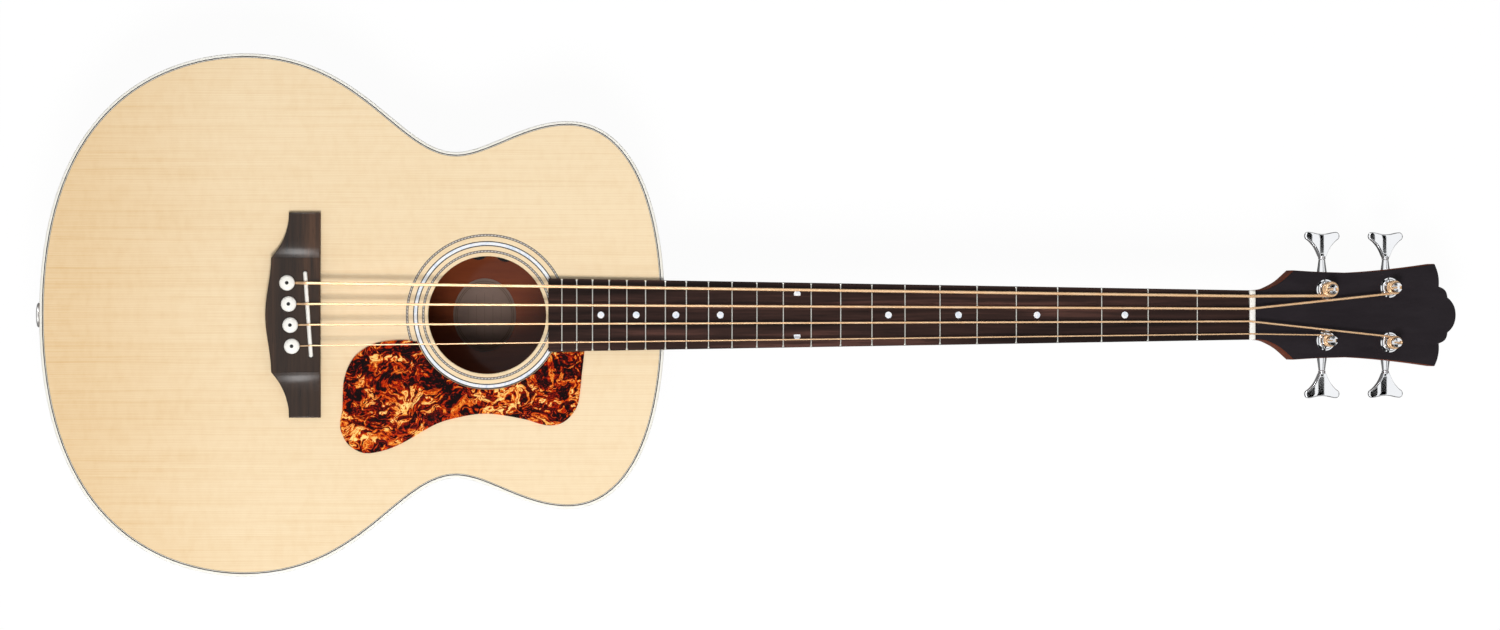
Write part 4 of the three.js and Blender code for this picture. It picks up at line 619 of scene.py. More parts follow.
def stripes(look, value, times):
    """From 0 on the lines of a pattern to 1 between them."""
    return look.math("ABSOLUTE", look.math("SINE", look.math("MULTIPLY", value, times)))


def wound(name, pitch):
    """The ridges of a fine wire wound round a string, along its UV in metres, with painted shade in the
    grooves between the turns.
    """
    look = Look(name, 0.26, 0.5)
    ridge = stripes(look, look.split(look.place(source="UV"))["X"], math.pi / pitch)
    color = look.drifting(look.even_noise(90, 3), (254, 214, 170), (244, 198, 150))
    # Painted shade: darker in the grooves between the turns of wire
    color = look.mix(look.fit(ridge, 0.0, 0.35, 0.12, 0), color, linear((170, 116, 72)))
    look.done(color, ridge, 0.02, 0.0001)


def paper(name):
    """A label with a plain double border and blank ruled lines."""
    look = Look(name, 0.85)
    length, width = LABEL_LENGTH / 1000, LABEL_WIDTH / 1000
    centre = (X_OFFSET - LABEL_X) / 1000
    here = look.place((1 / length, 1 / width, 0), (centre / length, 0, 0))
    out = look.node("VectorMath", "Value", {0: here}, operation="LENGTH")
    ink = linear((96, 78, 60))
    color = look.drifting(look.even_noise(30, 3), (143, 121, 110), (126, 106, 97))
    for radius in (0.92, 0.87):
        color = look.mix(look.fit(off_line(look, out, radius), 0.008, 0.016, 0.7, 0), color, ink)
    rules = look.fit(stripes(look, look.split(here)["X"], 12.0), 0.03, 0.12, 1, 0)
    color = look.mix(look.math("MULTIPLY", rules, look.fit(out, 0.60, 0.62, 0.55, 0)), color, ink)
    look.done(color, look.even_noise(400, 4, 0.7), 0.15)


MAHOGANY = [(0.2, (150, 82, 50)), (0.5, (126, 62, 36)), (0.8, (92, 42, 26))]
NECK_WOOD = [(0.2, (142, 76, 48)), (0.5, (116, 56, 34)), (0.8, (84, 38, 24))]
BARE_MAHOGANY = [(0.2, (170, 104, 72)), (0.8, (128, 72, 48))]
BARE_WOOD = [(0.2, (214, 180, 132)), (0.8, (186, 146, 98))]
ROSEWOOD = [(0.28, (98, 66, 58)), (0.48, (54, 37, 33)), (0.7, (28, 19, 17))]
BRIDGE_WOOD = [(0.2, (88, 60, 42)), (0.45, (54, 37, 26)), (0.8, (27, 18, 12))]
DARK_VENEER = [(0.2, (43, 38, 42)), (0.8, (33, 28, 32))]
ALONG = (7, 100, 100)  # how finely mahogany's grain is drawn along and across it

spruce("spruce_top", (251, 228, 190), (228, 190, 136), 0.12)
spruce("bare_spruce", (236, 210, 168), (214, 178, 126), 0)
wood("mahogany", MAHOGANY, ALONG, 0.35, 0.25, where="folded", inside=(132, 62, 34))
wood("mahogany_rib", MAHOGANY, ALONG, 0.35, 0.25, where="UV")
wood("neck_mahogany", NECK_WOOD, ALONG, 0.42, 0.05)
wood("bare_mahogany", BARE_MAHOGANY, (90, 90, 8), 0.8)
wood("bare_wood", BARE_WOOD, (20, 90, 90), 0.8)
wood("rosewood", ROSEWOOD, (8, 190, 120), 0.5, pores=0.8)
wood("bridge_wood", BRIDGE_WOOD, (190, 8, 120), 0.25, pores=0.8, specular=0.35)
wood("black_veneer", DARK_VENEER, (8, 150, 150), 0.42)
plastic("binding", (250, 248, 240), (244, 240, 228), 0.3, 0.2)
plastic("purfling_dark", (44, 38, 38), (30, 26, 26), 0.4, specular=0.15)
plastic("white_plastic", (255, 254, 248), (253, 249, 240), 0.28, 0.2)
pearl("pearl")
pearl("pearl_ring", "pearl")
rope("rosette_dark", 150, "outer")
rope("rosette_inner", 120, "inner")
shell("tortoiseshell")
plastic("black_plastic", (30, 28, 28), (20, 19, 19), 0.5, 0, 0.12, 0.15)
plastic("pin_dot", (30, 30, 32), (20, 20, 22), 0.3)
plastic("battery_case", (62, 64, 68), (48, 50, 54), 0.35, 0.2)
paper("label_paper")
wound("bronze", 0.00042)
metal("brass", (196, 158, 98), (168, 130, 74), 0.35)
metal("steel", (246, 246, 238), (232, 232, 224), 0.36, (300, 30, 300))
metal("jack_metal", (232, 232, 230), (214, 214, 212), 0.45)
metal("chrome", (246, 247, 249), (238, 240, 243), 0.05, (60, 60, 60))

NODE_LOOKS = {
    "bare_mahogany": ["neck_block", "tail_block"],
    "bare_spruce": ["x_brace_over", "x_brace_under", "upper_brace", "tone_bar_front", "tone_bar_rear"],
    "bare_wood": ["bridge_plate"],
    "black_plastic": ["preamp_case"],
    "brass": ["pickup_strip"],
    "steel": ["truss_rod", "truss_rod_nut"],
}
for look_name, node_names in NODE_LOOKS.items():
    for node_name in node_names:
        materials = frame["nodes"][node_name].data.materials
        materials.clear()
        materials.append(LOOKS[look_name])


# Body


def bezier(p0, p1, p2, p3, steps):
    t = np.linspace(0, 1, steps + 1)[1:, None]
    p0, p1, p2, p3 = (np.array(p, float) for p in (p0, p1, p2, p3))
    return (1 - t) ** 3 * p0 + 3 * t * (1 - t) ** 2 * p1 + 3 * t**2 * (1 - t) * p2 + t**3 * p3


def half_outline():
    a, b, c, d, e, f, g, h = OUTLINE_SHARES
    tail, waist = LOWER_X - BODY_TAIL, WAIST_X - LOWER_X
    shoulder, end = UPPER_X - WAIST_X, BODY_END - UPPER_X
    knots = [(BODY_TAIL, 0), (LOWER_X, LOWER), (WAIST_X, WAIST), (UPPER_X, UPPER), (BODY_END, 0)]
    handles = [
        ((BODY_TAIL, a * LOWER), (LOWER_X - b * tail, LOWER)),
        ((LOWER_X + c * waist, LOWER), (WAIST_X - d * waist, WAIST)),
        ((WAIST_X + e * shoulder, WAIST), (UPPER_X - f * shoulder, UPPER)),
        ((UPPER_X + g * end, UPPER), (BODY_END, h * UPPER)),
    ]
    parts = [bezier(knots[i], *handles[i], knots[i + 1], OUTLINE_STEPS[i]) for i in range(4)]
    return np.concatenate([[knots[0]], *parts])


HALF = half_outline()
LOOP = np.concatenate([HALF, HALF[-2:0:-1] * [1, -1]])
RIM_ANGLE = np.arctan2(HALF[:, 1], HALF[:, 0] - DOME_X)[::-1]
RIM_REACH = np.hypot(HALF[:, 1], HALF[:, 0] - DOME_X)[::-1]


def outline(inset=0.0):
    """The body's outline moved in, from the tail round the +Y side and back."""
    return inset_loop(LOOP, inset)


def rim_z(x):
    """The height of the back's rim, which rises towards the neck."""
    return RIM_TAIL + RIM_RISE * (np.asarray(x) - BODY_TAIL) / BODY_LENGTH


def back_z(x, y):
    """The height of the back: lowest at the middle of its dome, and up at its rim."""
    reach = np.interp(np.arctan2(np.abs(y), np.asarray(x) - DOME_X), RIM_ANGLE, RIM_REACH)
    share = np.hypot(np.asarray(x) - DOME_X, y) / reach
    return rim_z(x) - (rim_z(DOME_X) - DOME_LOW) * (1 - share**2)


def at_back(points, lift=0.0):
    """Points of a plan on the outer face of the arched back, or a lift above it."""
    return np.column_stack([points, back_z(points[:, 0], points[:, 1]) + lift])


def at_height(points, z):
    return np.column_stack([points, np.zeros(len(points)) + z])


def arched_back(rings=16):
    """The outer and the inner face of the back, closed round the rim."""
    middle = np.array([DOME_X, 0])
    shares = [0.0001, *np.linspace(0, 1, rings + 1)[1:]]
    rows = [middle + (outline(BINDING) - middle) * share for share in shares]
    return loft([at_back(r) for r in rows] + [at_back(r, PLATE) for r in rows[::-1]])


def round_band(sections):
    """A ring whose sections are given corner by corner, each a loop round the body."""
    return loft(np.stack(sections, 1), ring=True)


def strip(outer, inner, low, high):
    """A flat-topped ring between two insets of the outline."""
    o, n = outline(outer), outline(inner)
    return round_band([at_height(o, low), at_height(o, high), at_height(n, high), at_height(n, low)])


def bound_edge(top):
    """The binding, its outer corner rounded, at the top or following the back's rim."""
    corner, rows = 1.1, []
    for angle in np.linspace(0, math.pi / 2, 6):
        line, off = outline(corner * (1 - math.cos(angle))), corner * (1 - math.sin(angle))
        rows.append(at_height(line, TOP - off) if top else at_back(line, off))
    inner, outer = outline(BINDING), outline()
    face = at_height(inner, TOP) if top else at_back(inner)
    seam = TOP - BINDING_HEIGHT if top else rim_z(outer[:, 0]) + BINDING_HEIGHT
    return round_band([*rows, face, at_height(inner, seam), at_height(outer, seam)])


def run_along(points):
    """How far along its line each point lies."""
    return np.concatenate([[0], np.cumsum(np.linalg.norm(np.diff(points, axis=0), axis=1))])


def rib(sign):
    """One side of the body, bent along its half of the outline, and its UV."""
    outer, inner = (outline(inset)[: len(HALF)].copy() for inset in (0, SIDE))
    for line in (outer, inner):
        line[[0, -1], 1] = SEAT / 4
    low, high = rim_z(outer[:, 0]) + BINDING_HEIGHT, TOP - BINDING_HEIGHT
    heights = [low + (high - low) * share for share in np.linspace(0, 1, 5)]
    corners = [at_height(outer, z) for z in heights] + [at_height(inner, z) for z in heights[::-1]]
    loops = np.stack(corners, 1)
    along = np.repeat(run_along(outer), len(corners))
    uv = np.stack([along, loops[:, :, 2].ravel() + 400 * (sign + 1)], 1) / 1000
    loops[:, :, 1] *= sign
    return loft(loops), uv


def soundboard():
    """The top in two layers, so that the rosette's rings lie flush in it, with narrow lands between them."""
    (inner, inner_end), (pearly, pearly_end), (outer, outer_end) = RINGS.values()
    edge, low, corner = outline(BINDING + PURFLING[-1]), TOP - INLAY, 0.5
    holes = [circle(x, y, PIN_HOLE, 24) for x, y in zip(PIN_X, PIN_Y)]
    lower = plate([edge, circle(HOLE_X, 0, HOLE_R), *holes], TOP_UNDER, low - 0.01)
    upper = plate([edge, circle(HOLE_X, 0, outer_end, RING_SEGMENTS), *holes], low, TOP)
    face = [(inner, low), (inner, TOP), (HOLE_R + corner, TOP), (HOLE_R, TOP - corner)]
    lip = lathe([(HOLE_R, low), *face, (HOLE_R, low)], RING_SEGMENTS)
    lands = [flat_ring(pearly_end, outer, low, TOP), flat_ring(inner_end, pearly, low, TOP)]
    return join(lower, upper, *(moved(part, x=HOLE_X) for part in (*lands, lip)))


def lining(top):
    """The strip in the corner of a rib and a plate: its section is a wedge."""
    o, n = outline(SIDE + PROUD), outline(SIDE + 5.5)
    if top:
        high, low, heel = TOP_UNDER - PROUD, TOP_UNDER - 15, TOP_UNDER - 6
        return round_band([at_height(o, low), at_height(o, high), at_height(n, high), at_height(n, heel)])
    high, heel = rim_z(o[:, 0]) + 18, rim_z(n[:, 0]) + 9
    lift = PLATE + PROUD
    return round_band([at_height(o, high), at_back(o, lift), at_back(n, lift), at_height(n, heel)])


def body_pieces():
    add("top_plate", soundboard(), "spruce_top", ["soundboard"])
    add("edge_binding_top", bound_edge(True), "binding", ["top_binding"])
    add("edge_binding_back", bound_edge(False), "binding", ["back_binding"])
    dark = ("rosette_dark", "purfling_dark")
    lines = {"outer": dark, "middle": ("binding", None), "inner": dark}
    for (name, (slot, look)), start, end in zip(lines.items(), PURFLING, PURFLING[1:]):
        line = strip(BINDING + start, BINDING + end, TOP - INLAY, TOP + PROUD)
        add("purfling_" + name, line, slot, look=look)
    add("arched_back", arched_back(), "mahogany", ["back_plate"])
    for sign, side in ((1, "bass"), (-1, "treble")):
        shape, uv = rib(sign)
        add("rib_" + side, shape, "mahogany", ["side_" + side], look="mahogany_rib", along=uv)
    add("lining_top", lining(True), "bare_wood", ["top_lining"])
    add("lining_back", lining(False), "bare_wood", ["back_lining"])
    looks = {"inner": ("rosette_dark", "rosette_inner"), "pearl": ("pearl", "pearl_ring")}
    for name, (inner, outer) in RINGS.items():
        slot, look = looks.get(name, ("rosette_dark", None))
        ring = moved(flat_ring(inner, outer, TOP - INLAY, TOP + PROUD), x=HOLE_X)
        add("inlay_" + name, ring, slot, ["rosette_ring_" + name], look=look)


# Fittings of the top

# Places on the pickguard's outer curve: how far along and across from the middle of the soundhole
PICKGUARD_SHARES = [
    [0.399, 0.266], [0.389, 0.422], [0.375, 0.627], [0.348, 0.723], [0.307, 0.784], [0.26, 0.802],
    [0.212, 0.789], [0.158, 0.759], [0.056, 0.725], [-0.012, 0.716], [-0.08, 0.729], [-0.182, 0.772],
    [-0.257, 0.835], [-0.331, 0.913], [-0.399, 0.968], [-0.473, 1], [-0.521, 0.991], [-0.568, 0.937],
    [-0.595, 0.853], [-0.601, 0.781], [-0.592, 0.685], [-0.59, 0.565], [-0.585, 0.469],
    [-0.564, 0.361], [-0.528, 0.277], [-0.467, 0.211], [-0.399, 0.187], [-0.331, 0.183], [-0.285, 0.195],
]
# How the bridge's wings reach back from their ends inwards, and how they fall from the centre outwards
WING_IN = [[0, 0.16, 0.42, 0.68, 0.87, 1], [0, 0.02, 0.16, 0.43, 0.74, 1]]
WING_DOWN = [[0, 0.1, 0.24, 0.42, 0.65, 1], [1, 0.6, 0.26, 0.06, 0, 0]]


def board_half(x):
    return END_HALF + (NUT_HALF - END_HALF) * (x - BOARD_END) / (SCALE - BOARD_END)


def beside_board(x):
    """The place across of the pickguard's edge that follows the fretboard."""
    return -board_half(x) - GUARD_GAP


def pickguard():
    """Its outer curve, then round the rosette and back along the fretboard's edge."""
    reach = -min(share for share, _ in PICKGUARD_SHARES)
    length = (HOLE_X - BRIDGE_FRONT - GUARD_FROM_BRIDGE) / reach
    outer = spline([(HOLE_X + a * length, -GUARD_WIDTH * b) for a, b in PICKGUARD_SHARES])
    x, y = outer.T
    ring = RINGS["pearl"][1] + GUARD_GAP
    ring_end, rounding = HOLE_X + 52, 0.45
    kept = (np.hypot(x - HOLE_X, y) > ring) & ((y < beside_board(x)) | (x < BOARD_END - ring))
    outer = outer[kept]
    start = math.atan2(outer[-1][1], outer[-1][0] - HOLE_X)
    stop = math.asin(beside_board(ring_end) / ring)
    arc = [(HOLE_X + ring * math.cos(a), ring * math.sin(a)) for a in np.linspace(start, stop, 60)]
    corner = (outer[0][0], beside_board(outer[0][0]))
    return plate([[*outer, *arc, corner]], GLUED, TOP + SEAT + GUARD_THICK, rounding)


def bridge_back(y):
    """How far back the bridge reaches at a place across it."""
    out, half_belly = np.abs(y), 2.4
    t = 0.5 - 0.5 * np.clip(y / CENTRE_HALF, -1, 1)
    belly = BRIDGE_BACK - half_belly * (1 - np.cos(2 * math.pi * t))
    along = (BRIDGE_HALF - out) / (BRIDGE_HALF - CENTRE_HALF)
    wing = BRIDGE_WING + (BRIDGE_BACK - BRIDGE_WING) * curve_at(along, *WING_IN)
    return np.where(out < CENTRE_HALF, belly, wing)


def bridge_height(y):
    out = np.abs(y)
    along = (out - CENTRE_HALF) / (BRIDGE_HALF - CENTRE_HALF)
    wing_end, wing_rise = BRIDGE_LOW + 3.9, 4.5
    wing = wing_end + wing_rise * curve_at(along, *WING_DOWN)
    return np.where(out < CENTRE_HALF, BRIDGE_TOP, wing)


def bridge_stations():
    """Places across the bridge, closest at the steps of its centre and at its ends."""
    centre = [*np.linspace(0, CENTRE_HALF - 0.6, 20), CENTRE_HALF - 0.25, CENTRE_HALF - 0.05]
    wing = [CENTRE_HALF + 0.05, *np.linspace(CENTRE_HALF + 0.5, BRIDGE_HALF - EDGE, 34)]
    half = np.array([*centre, *wing, BRIDGE_HALF - 0.4, BRIDGE_HALF - 0.12, BRIDGE_HALF])
    return [*-half[:0:-1], *half]


def bridge_section(y):
    """The bridge cut at a place across it, with rounded upper edges."""
    near_end = EDGE - min(BRIDGE_HALF - abs(y), EDGE)
    drop = EDGE - math.sqrt(max(0, EDGE**2 - near_end**2))
    if CENTRE_HALF - 0.1 < abs(y) < CENTRE_HALF:
        drop += 0.3
    back, low_edge = bridge_back(y), bridge_height(y) - drop - EDGE
    curve = [(EDGE * math.sin(a), EDGE * math.cos(a)) for a in np.linspace(0, math.pi / 2, 5)]
    rear = [(back + EDGE - c, y, low_edge + s) for s, c in curve]
    front = [(BRIDGE_FRONT - EDGE + s, y, low_edge + c) for s, c in curve]
    return [(back, y, BRIDGE_LOW), *rear, *front, (BRIDGE_FRONT, y, BRIDGE_LOW)]


def bridge():
    """The bridge with its saddle slot, its pin holes and a ramp for each string."""
    slot_half, slot_side = 35.9, 1.65
    slot = box(-slot_half, slot_half, -slot_side, slot_side, SADDLE_SLOT, BRIDGE_TOP + 6)
    cuts = [on_saddle_line(slot)]
    for i, place in enumerate(zip(PIN_X, PIN_Y)):
        cuts += [moved(rod(PIN_HOLE, TOP, TOP + 20, 32), *place), ramp(i)]
    return carve(loft([bridge_section(y) for y in bridge_stations()]), join(*cuts))


def on_saddle_line(shape):
    way = SADDLE_TREBLE - SADDLE_BASS
    middle = (SADDLE_BASS + SADDLE_TREBLE) / 2
    return moved(turned(shape, math.atan2(way.y, way.x), "Z"), middle.x, middle.y)


def saddle_x(y):
    share = (y - SADDLE_BASS.y) / (SADDLE_TREBLE.y - SADDLE_BASS.y)
    return SADDLE_BASS.x + (SADDLE_TREBLE.x - SADDLE_BASS.x) * share


def saddle_crown(y):
    middle, half = (SADDLE_BASS.y + SADDLE_TREBLE.y) / 2, (SADDLE_BASS.y - SADDLE_TREBLE.y) / 2
    return SADDLE_TOP - 0.7 * ((y - middle) / half) ** 2


def saddle():
    """A bar with round ends, highest a little in front of its middle."""
    length, thick = (SADDLE_TREBLE - SADDLE_BASS).length, 1.6
    low = SADDLE_SLOT + 1.9
    end = np.array([0.02, 0.3, 0.7, 1.1, thick])
    loops = []
    for s in [*end, *np.linspace(3, length - 3, 24), *(length - end[::-1])]:
        along = s - length / 2
        half = thick * math.sqrt(max(0.0, 1 - (max(0, thick - min(s, length - s)) / thick) ** 2))
        crest = saddle_crown((SADDLE_BASS.y + SADDLE_TREBLE.y) / 2 - along) - 0.35 * (thick - half)
        tops = [(-1, 0.9), (-0.8, 0.35), (-0.35, 0.05), (0.1, 0.12), (0.6, 0.75), (1, 1.7)]
        face = [(along, -across * half, crest - down) for across, down in tops]
        loops.append([(along, half, low), *face, (along, -half, low)])
    return on_saddle_line(loft(loops))


def crossing(i):
    """Where string i lies on the saddle, its slope behind it, and where it bends down beside its pin."""
    radius, y = DIAMETERS[i] / 2, SADDLE_Y[i]
    over = Vector((saddle_x(y) - 0.5, y, saddle_crown(y) + radius + 0.05))
    edge_x, edge_z = PIN_X[i] + PIN_R, BRIDGE_TOP - radius - RUN
    slope = (over.z - edge_z) / (over.x - edge_x)
    bend = Vector((PIN_X[i] + FLUTE, PIN_Y[i], edge_z - slope * (PIN_R - FLUTE)))
    return over, slope, bend


def ramp(i):
    """The slanted slot that a string comes up through, beside its pin."""
    _, slope, bend = crossing(i)
    x, half, high = PIN_X[i], DIAMETERS[i] / 2 + RUN, BRIDGE_TOP + 6
    low = bend.z - (half + SEAT) * math.hypot(1, slope)
    slant = [(x, low), (bend.x, low), (bend.x + (high - low) / slope, high), (x, high)]
    well = [(x, TOP), (bend.x + half, TOP), (bend.x + half, bend.z), (x, bend.z)]
    return join(*(wall(profile, PIN_Y[i] - half, PIN_Y[i] + half) for profile in (slant, well)))


def bridge_pin(i):
    """A pin, with a flute for its string and room for the ball end under the bridge plate."""
    tip, deep, half = -PIN_LENGTH, -PIN_LENGTH - 6, DIAMETERS[i] / 2 + RUN
    shaft = [(0, tip), (2.4, tip), (3.2, tip + 0.9), (3.9, -0.6), (3.9, 0), (5.9, 0)]
    head = [(6.3, 0.15), (PIN_R, 0.5), (6.35, 1.2), (6.1, 1.9), (5.4, 2.6), (4.3, 3.1)]
    crown = [(2.8, 3.42), (1.4, 3.57), (0, PIN_HEAD)]
    flute = join(
        moved(rod(half, deep, -SEAT), x=FLUTE),
        box(FLUTE, PIN_R + 1, -half, half, deep, -SEAT),
        box(0.6, PIN_R + 1, -PIN_R, PIN_R, deep, HOOK_Z - PIN_SEAT),
    )
    return moved(carve(lathe([*shaft, *head, *crown], 56), flute), PIN_X[i], PIN_Y[i], PIN_SEAT)


def pin_dot(i):
    dot = lathe([(0, -0.8), (1.5, -0.8), (1.5, -0.02), (1.35, 0.01), (0, 0.03)], 24)
    return moved(dot, PIN_X[i], PIN_Y[i], PIN_SEAT + PIN_HEAD)


def bridge_pieces():
    add("bridge_body", bridge(), "rosewood", ["bridge"], look="bridge_wood", sharp=30)
    add("saddle_bar", saddle(), "white_plastic", ["saddle"], sharp=50)
    add("pickguard_sheet", pickguard(), "tortoiseshell", ["pickguard"], sharp=50)
    for i, name in enumerate(NAMES):
        add("pin_" + name, bridge_pin(i), "white_plastic", ["bridge_pin_" + name], body="pin_" + name)
        add("pin_dot_" + name, pin_dot(i), "black_plastic", body="pin_" + name, look="pin_dot")


# Fretboard, frets, dots and nut


def camber(y):
    return (np.asarray(y) / END_HALF) ** 2


def fret_x(number):
    return SCALE * 2 ** (-number / 12)


def fretboard():
    """The board, its long edges eased and its end a little lower."""
    ease, loops = 0.4, []
    for x, drop in ((BOARD_END, 0.5), (BOARD_END + 0.5, 0), (SCALE, 0)):
        half = board_half(x)
        top = [(x, y, BOARD_TOP - camber(y) - drop) for y in np.linspace(half - ease, ease - half, 17)]
        edge = top[0][2]
        side = [(half, GLUED), (half, edge - ease), (half - 0.12, edge - 0.12)]
        far_side = [(x, -y, z) for y, z in side[::-1]]
        loops.append([*((x, y, z) for y, z in side), *top, *far_side])
    return loft(loops)


def fret(number):
    """A rounded wire across the board, filed down at its ends."""
    x, loops = fret_x(number), []
    half = board_half(x) - 0.15
    end = [(half, 0.15, 1.05), (half - 0.35, 0.75, 1.05), (half - 0.8, 1, 0.95), (half - 1.6, 1, 0.72)]
    inner = [(y, 1, 0.6) for y in np.linspace(half - 2.5, 2.5 - half, 13)]
    for y, size, wide in [*end, *inner, *((-y, size, wide) for y, size, wide in end[::-1])]:
        base, rise = BOARD_TOP - camber(y), FRET_RISE * size
        turn = np.linspace(0, math.pi, 9)
        arc = [(x + wide * math.cos(a), y, base + rise * math.sin(a) ** 0.8) for a in turn]
        tang = [(x + 0.3, y, base - 1.0), (x + 0.3, y, base)]
        loops.append([*tang, *arc, (x - 0.3, y, base), (x - 0.3, y, base - 1.0)])
    return loft(loops)


def dot(x, y):
    profile = [(0, -1.2), (2.8, -1.2), (2.8, -0.02), (2.7, 0), (0, 0)]
    return moved(lathe(profile, 40), x, y, BOARD_TOP - camber(y) + 0.04)


def dots():
    """Single dots before these frets, and two at the octave."""
    places = [((fret_x(n - 1) + fret_x(n)) / 2, 0) for n in (3, 5, 7, 9, 15, 17, 19, 21)]
    octave = (fret_x(11) + fret_x(12)) / 2
    return join(*(dot(x, y) for x, y in [*places, (octave, 17.5), (octave, -17.5)]))


def nut():
    """A bar with a rounded crown that falls away towards the headstock, with its four slots."""
    high = FRET_TOP + 1.7
    crown = [(0, 0.7), (0.2, 0.25), (0.7, 0), (2, 0.1), (3.6, 0.5), (4.7, 1.1), (5.15, 1.7), (NUT, 2.3)]
    loops = []
    ends = [(NUT_HALF, 0.7), (NUT_HALF - 0.15, 0.3), (NUT_HALF - 0.6, 0)]
    for y, drop in [*((-y, drop) for y, drop in ends), *ends[::-1]]:
        over = [(SCALE + x, y, high - down - drop) for x, down in crown]
        loops.append([(SCALE, y, GLUED), *over, (SCALE + NUT, y, GLUED)])
    slots = []
    for i in range(4):
        start, end = nut_point(i), head_entry(i)
        way, r = end - start, DIAMETERS[i] / 2 + 0.08
        slots.append(tube([start - way, start, end, end + way], r, 16)[0])
        slots.append(box(start.x - 5, end.x + 5, NUT_Y[i] - r, NUT_Y[i] + r, start.z, start.z + 6))
    return carve(loft(loops), join(*slots))


def board_pieces():
    add("board", fretboard(), "rosewood", ["fretboard"], sharp=25)
    add("frets", join(*(fret(n) for n in range(1, FRETS + 1))), "steel")
    add("position_dots", dots(), "pearl")
    add("nut_bar", nut(), "white_plastic", ["nut"], sharp=40)


# Strings


def tube(points, radius, sides=14):
    """A round bar along points, with the UV of its length and its girth."""
    p = np.array([tuple(v) for v in points], float)
    way = np.gradient(p, axis=0)
    way /= np.linalg.norm(way, axis=1)[:, None]
    side = np.array([1.0, 0, 0]) if abs(way[0][2]) > 0.7 else np.array([0, 0, 1.0])
    angles, loops, uv = around(sides), [], []
    for here, along, run in zip(p, way, run_along(p)):
        side = side - along * side.dot(along)
        side /= np.linalg.norm(side)
        across = np.cross(along, side)
        loops.append([here + radius * (math.cos(a) * side + math.sin(a) * across) for a in angles])
        uv += [(run / 1000, a / (2 * math.pi)) for a in angles]
    return loft(loops), uv


def nut_point(i):
    return Vector((SCALE, NUT_Y[i], FRET_TOP + 0.55 + DIAMETERS[i] / 2))


def sign_of(i):
    """1 for the machines on the +Y side, -1 for the others."""
    return 1 if i < 2 else -1


def winding(i, turns, out=0.0, lift=0.0):
    """A place on string i after some turns round its post."""
    radius = POST_R + RUN + DIAMETERS[i] / 2 + out
    angle = sign_of(i) * (turns * 2 * math.pi - math.pi / 2)
    x, y = POSTS[i]
    z = FIRST_TURN + turns * (DIAMETERS[i] + TURN_GAP) + lift
    return HEAD @ Vector((x + radius * math.cos(angle), y + radius * math.sin(angle), z))


def head_entry(i):
    """Where string i leaves the nut for its post."""
    start, target = nut_point(i), winding(i, 0)
    entry = start.lerp(target, NUT / (target.x - start.x))
    entry.z = start.z - SEAT
    return entry


def bent(corners, cuts):
    """A line through corners, each rounded off over its cut."""
    made = [corners[0]]
    for before, here, after, cut in zip(corners, corners[1:], corners[2:], cuts):
        a = here + (before - here).normalized() * cut
        b = here + (after - here).normalized() * cut
        made += [(1 - t) ** 2 * a + 2 * t * (1 - t) * here + t**2 * b for t in np.linspace(0, 1, 7)]
    return [*made, corners[-1]]


def string_line(i):
    """From the ball end over saddle and nut, round the post, and into the post's slot."""
    over, _, bend = crossing(i)
    hook = Vector((bend.x, bend.y, HOOK_Z - SEAT - BALL_R))
    corners = [hook, bend, over, nut_point(i), head_entry(i), winding(i, 0)]
    line = bent(corners, [DIAMETERS[i] * 0.9, 1.4, 0.9, 0.9])
    line += [winding(i, j / TURN_STEPS) for j in range(1, round(TURNS[i] * TURN_STEPS) + 1)]
    more = 0.5 if TURNS[i] % 0.5 == 0.25 else 0.25
    away, slot_z = 0.25, POST_SLOT + DIAMETERS[i] / 2 + 0.1
    rise = slot_z - FIRST_TURN - (TURNS[i] + more) * (DIAMETERS[i] + TURN_GAP)
    for share in np.linspace(0, 1, 9)[1:]:
        line.append(winding(i, TURNS[i] + more * share, away * share, rise * share**1.5))
    mouth, ahead = line[-1], (line[-1] - line[-2]).normalized()
    inwards = HEAD @ Vector((*POSTS[i], slot_z)) - mouth
    for on, deep in ((0.9, 0.12), (0.9, 0.3), (0.3, 0.55), (0, 0.8), (0, 1.1)):
        line.append(mouth + ahead * on + inwards * deep)
    return line


def ball_end(place):
    rim = BALL_R - 0.5
    profile = [(0, -BALL_HALF), (rim, -BALL_HALF), (BALL_R, 0.5 - BALL_HALF)]
    shape = lathe([*profile, *((r, -z) for r, z in profile[::-1])], 24)
    return moved(turned(shape, math.pi / 2, "Y"), place.x + 0.2, place.y, place.z)


def string_pieces():
    """Each string is one mesh with no body, from its ball end over saddle and nut and round its post."""
    for i, name in enumerate(NAMES):
        line = string_line(i)
        shape, uv = tube(line, DIAMETERS[i] / 2)
        ball = ball_end(line[0])
        uv += [(0, 0)] * len(ball[0])
        whole = join(shape, ball)
        piece = add("wire_" + name, whole, "bronze", ["string_" + name], body=None, along=uv, sharp=60)
        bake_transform(piece)


# Neck and headstock


def neck_section(x, half, depth):
    """The neck cut at x: its rounded underside, and sides that rise past its face for a trim later."""
    face, side, rise = depth - NECK_SIDE, TOP - NECK_SIDE, 6
    under = [(x, half * math.cos(a), side - face * math.sin(a)) for a in np.linspace(0, math.pi, 33)]
    return [(x, half, TOP + rise), (x, half, TOP - 2), *under, (x, -half, TOP - 2), (x, -half, TOP + rise)]


def heel_section(share):
    """The heel's plan at a share of its height."""
    steepness, longer, wider = 2.6, 57, 14
    spread = max(share, 0) ** steepness
    length, half = HEEL_LENGTH + longer * spread, HEEL_HALF + wider * spread
    start, z = BODY_END - 6, HEEL_LOW + (TOP - NECK_SIDE - HEEL_LOW) * share
    front = [(x, y, z) for x, y in half_round(length, half, 25)]
    return [(start, half, z), *front, (start, -half, z)]


def half_round(length, half, count):
    """A plan that bulges from the body's end towards the nut."""
    turn = np.linspace(math.pi / 2, -math.pi / 2, count)
    return [(BODY_END + RUN + length * math.cos(a), half * math.sin(a)) for a in turn]


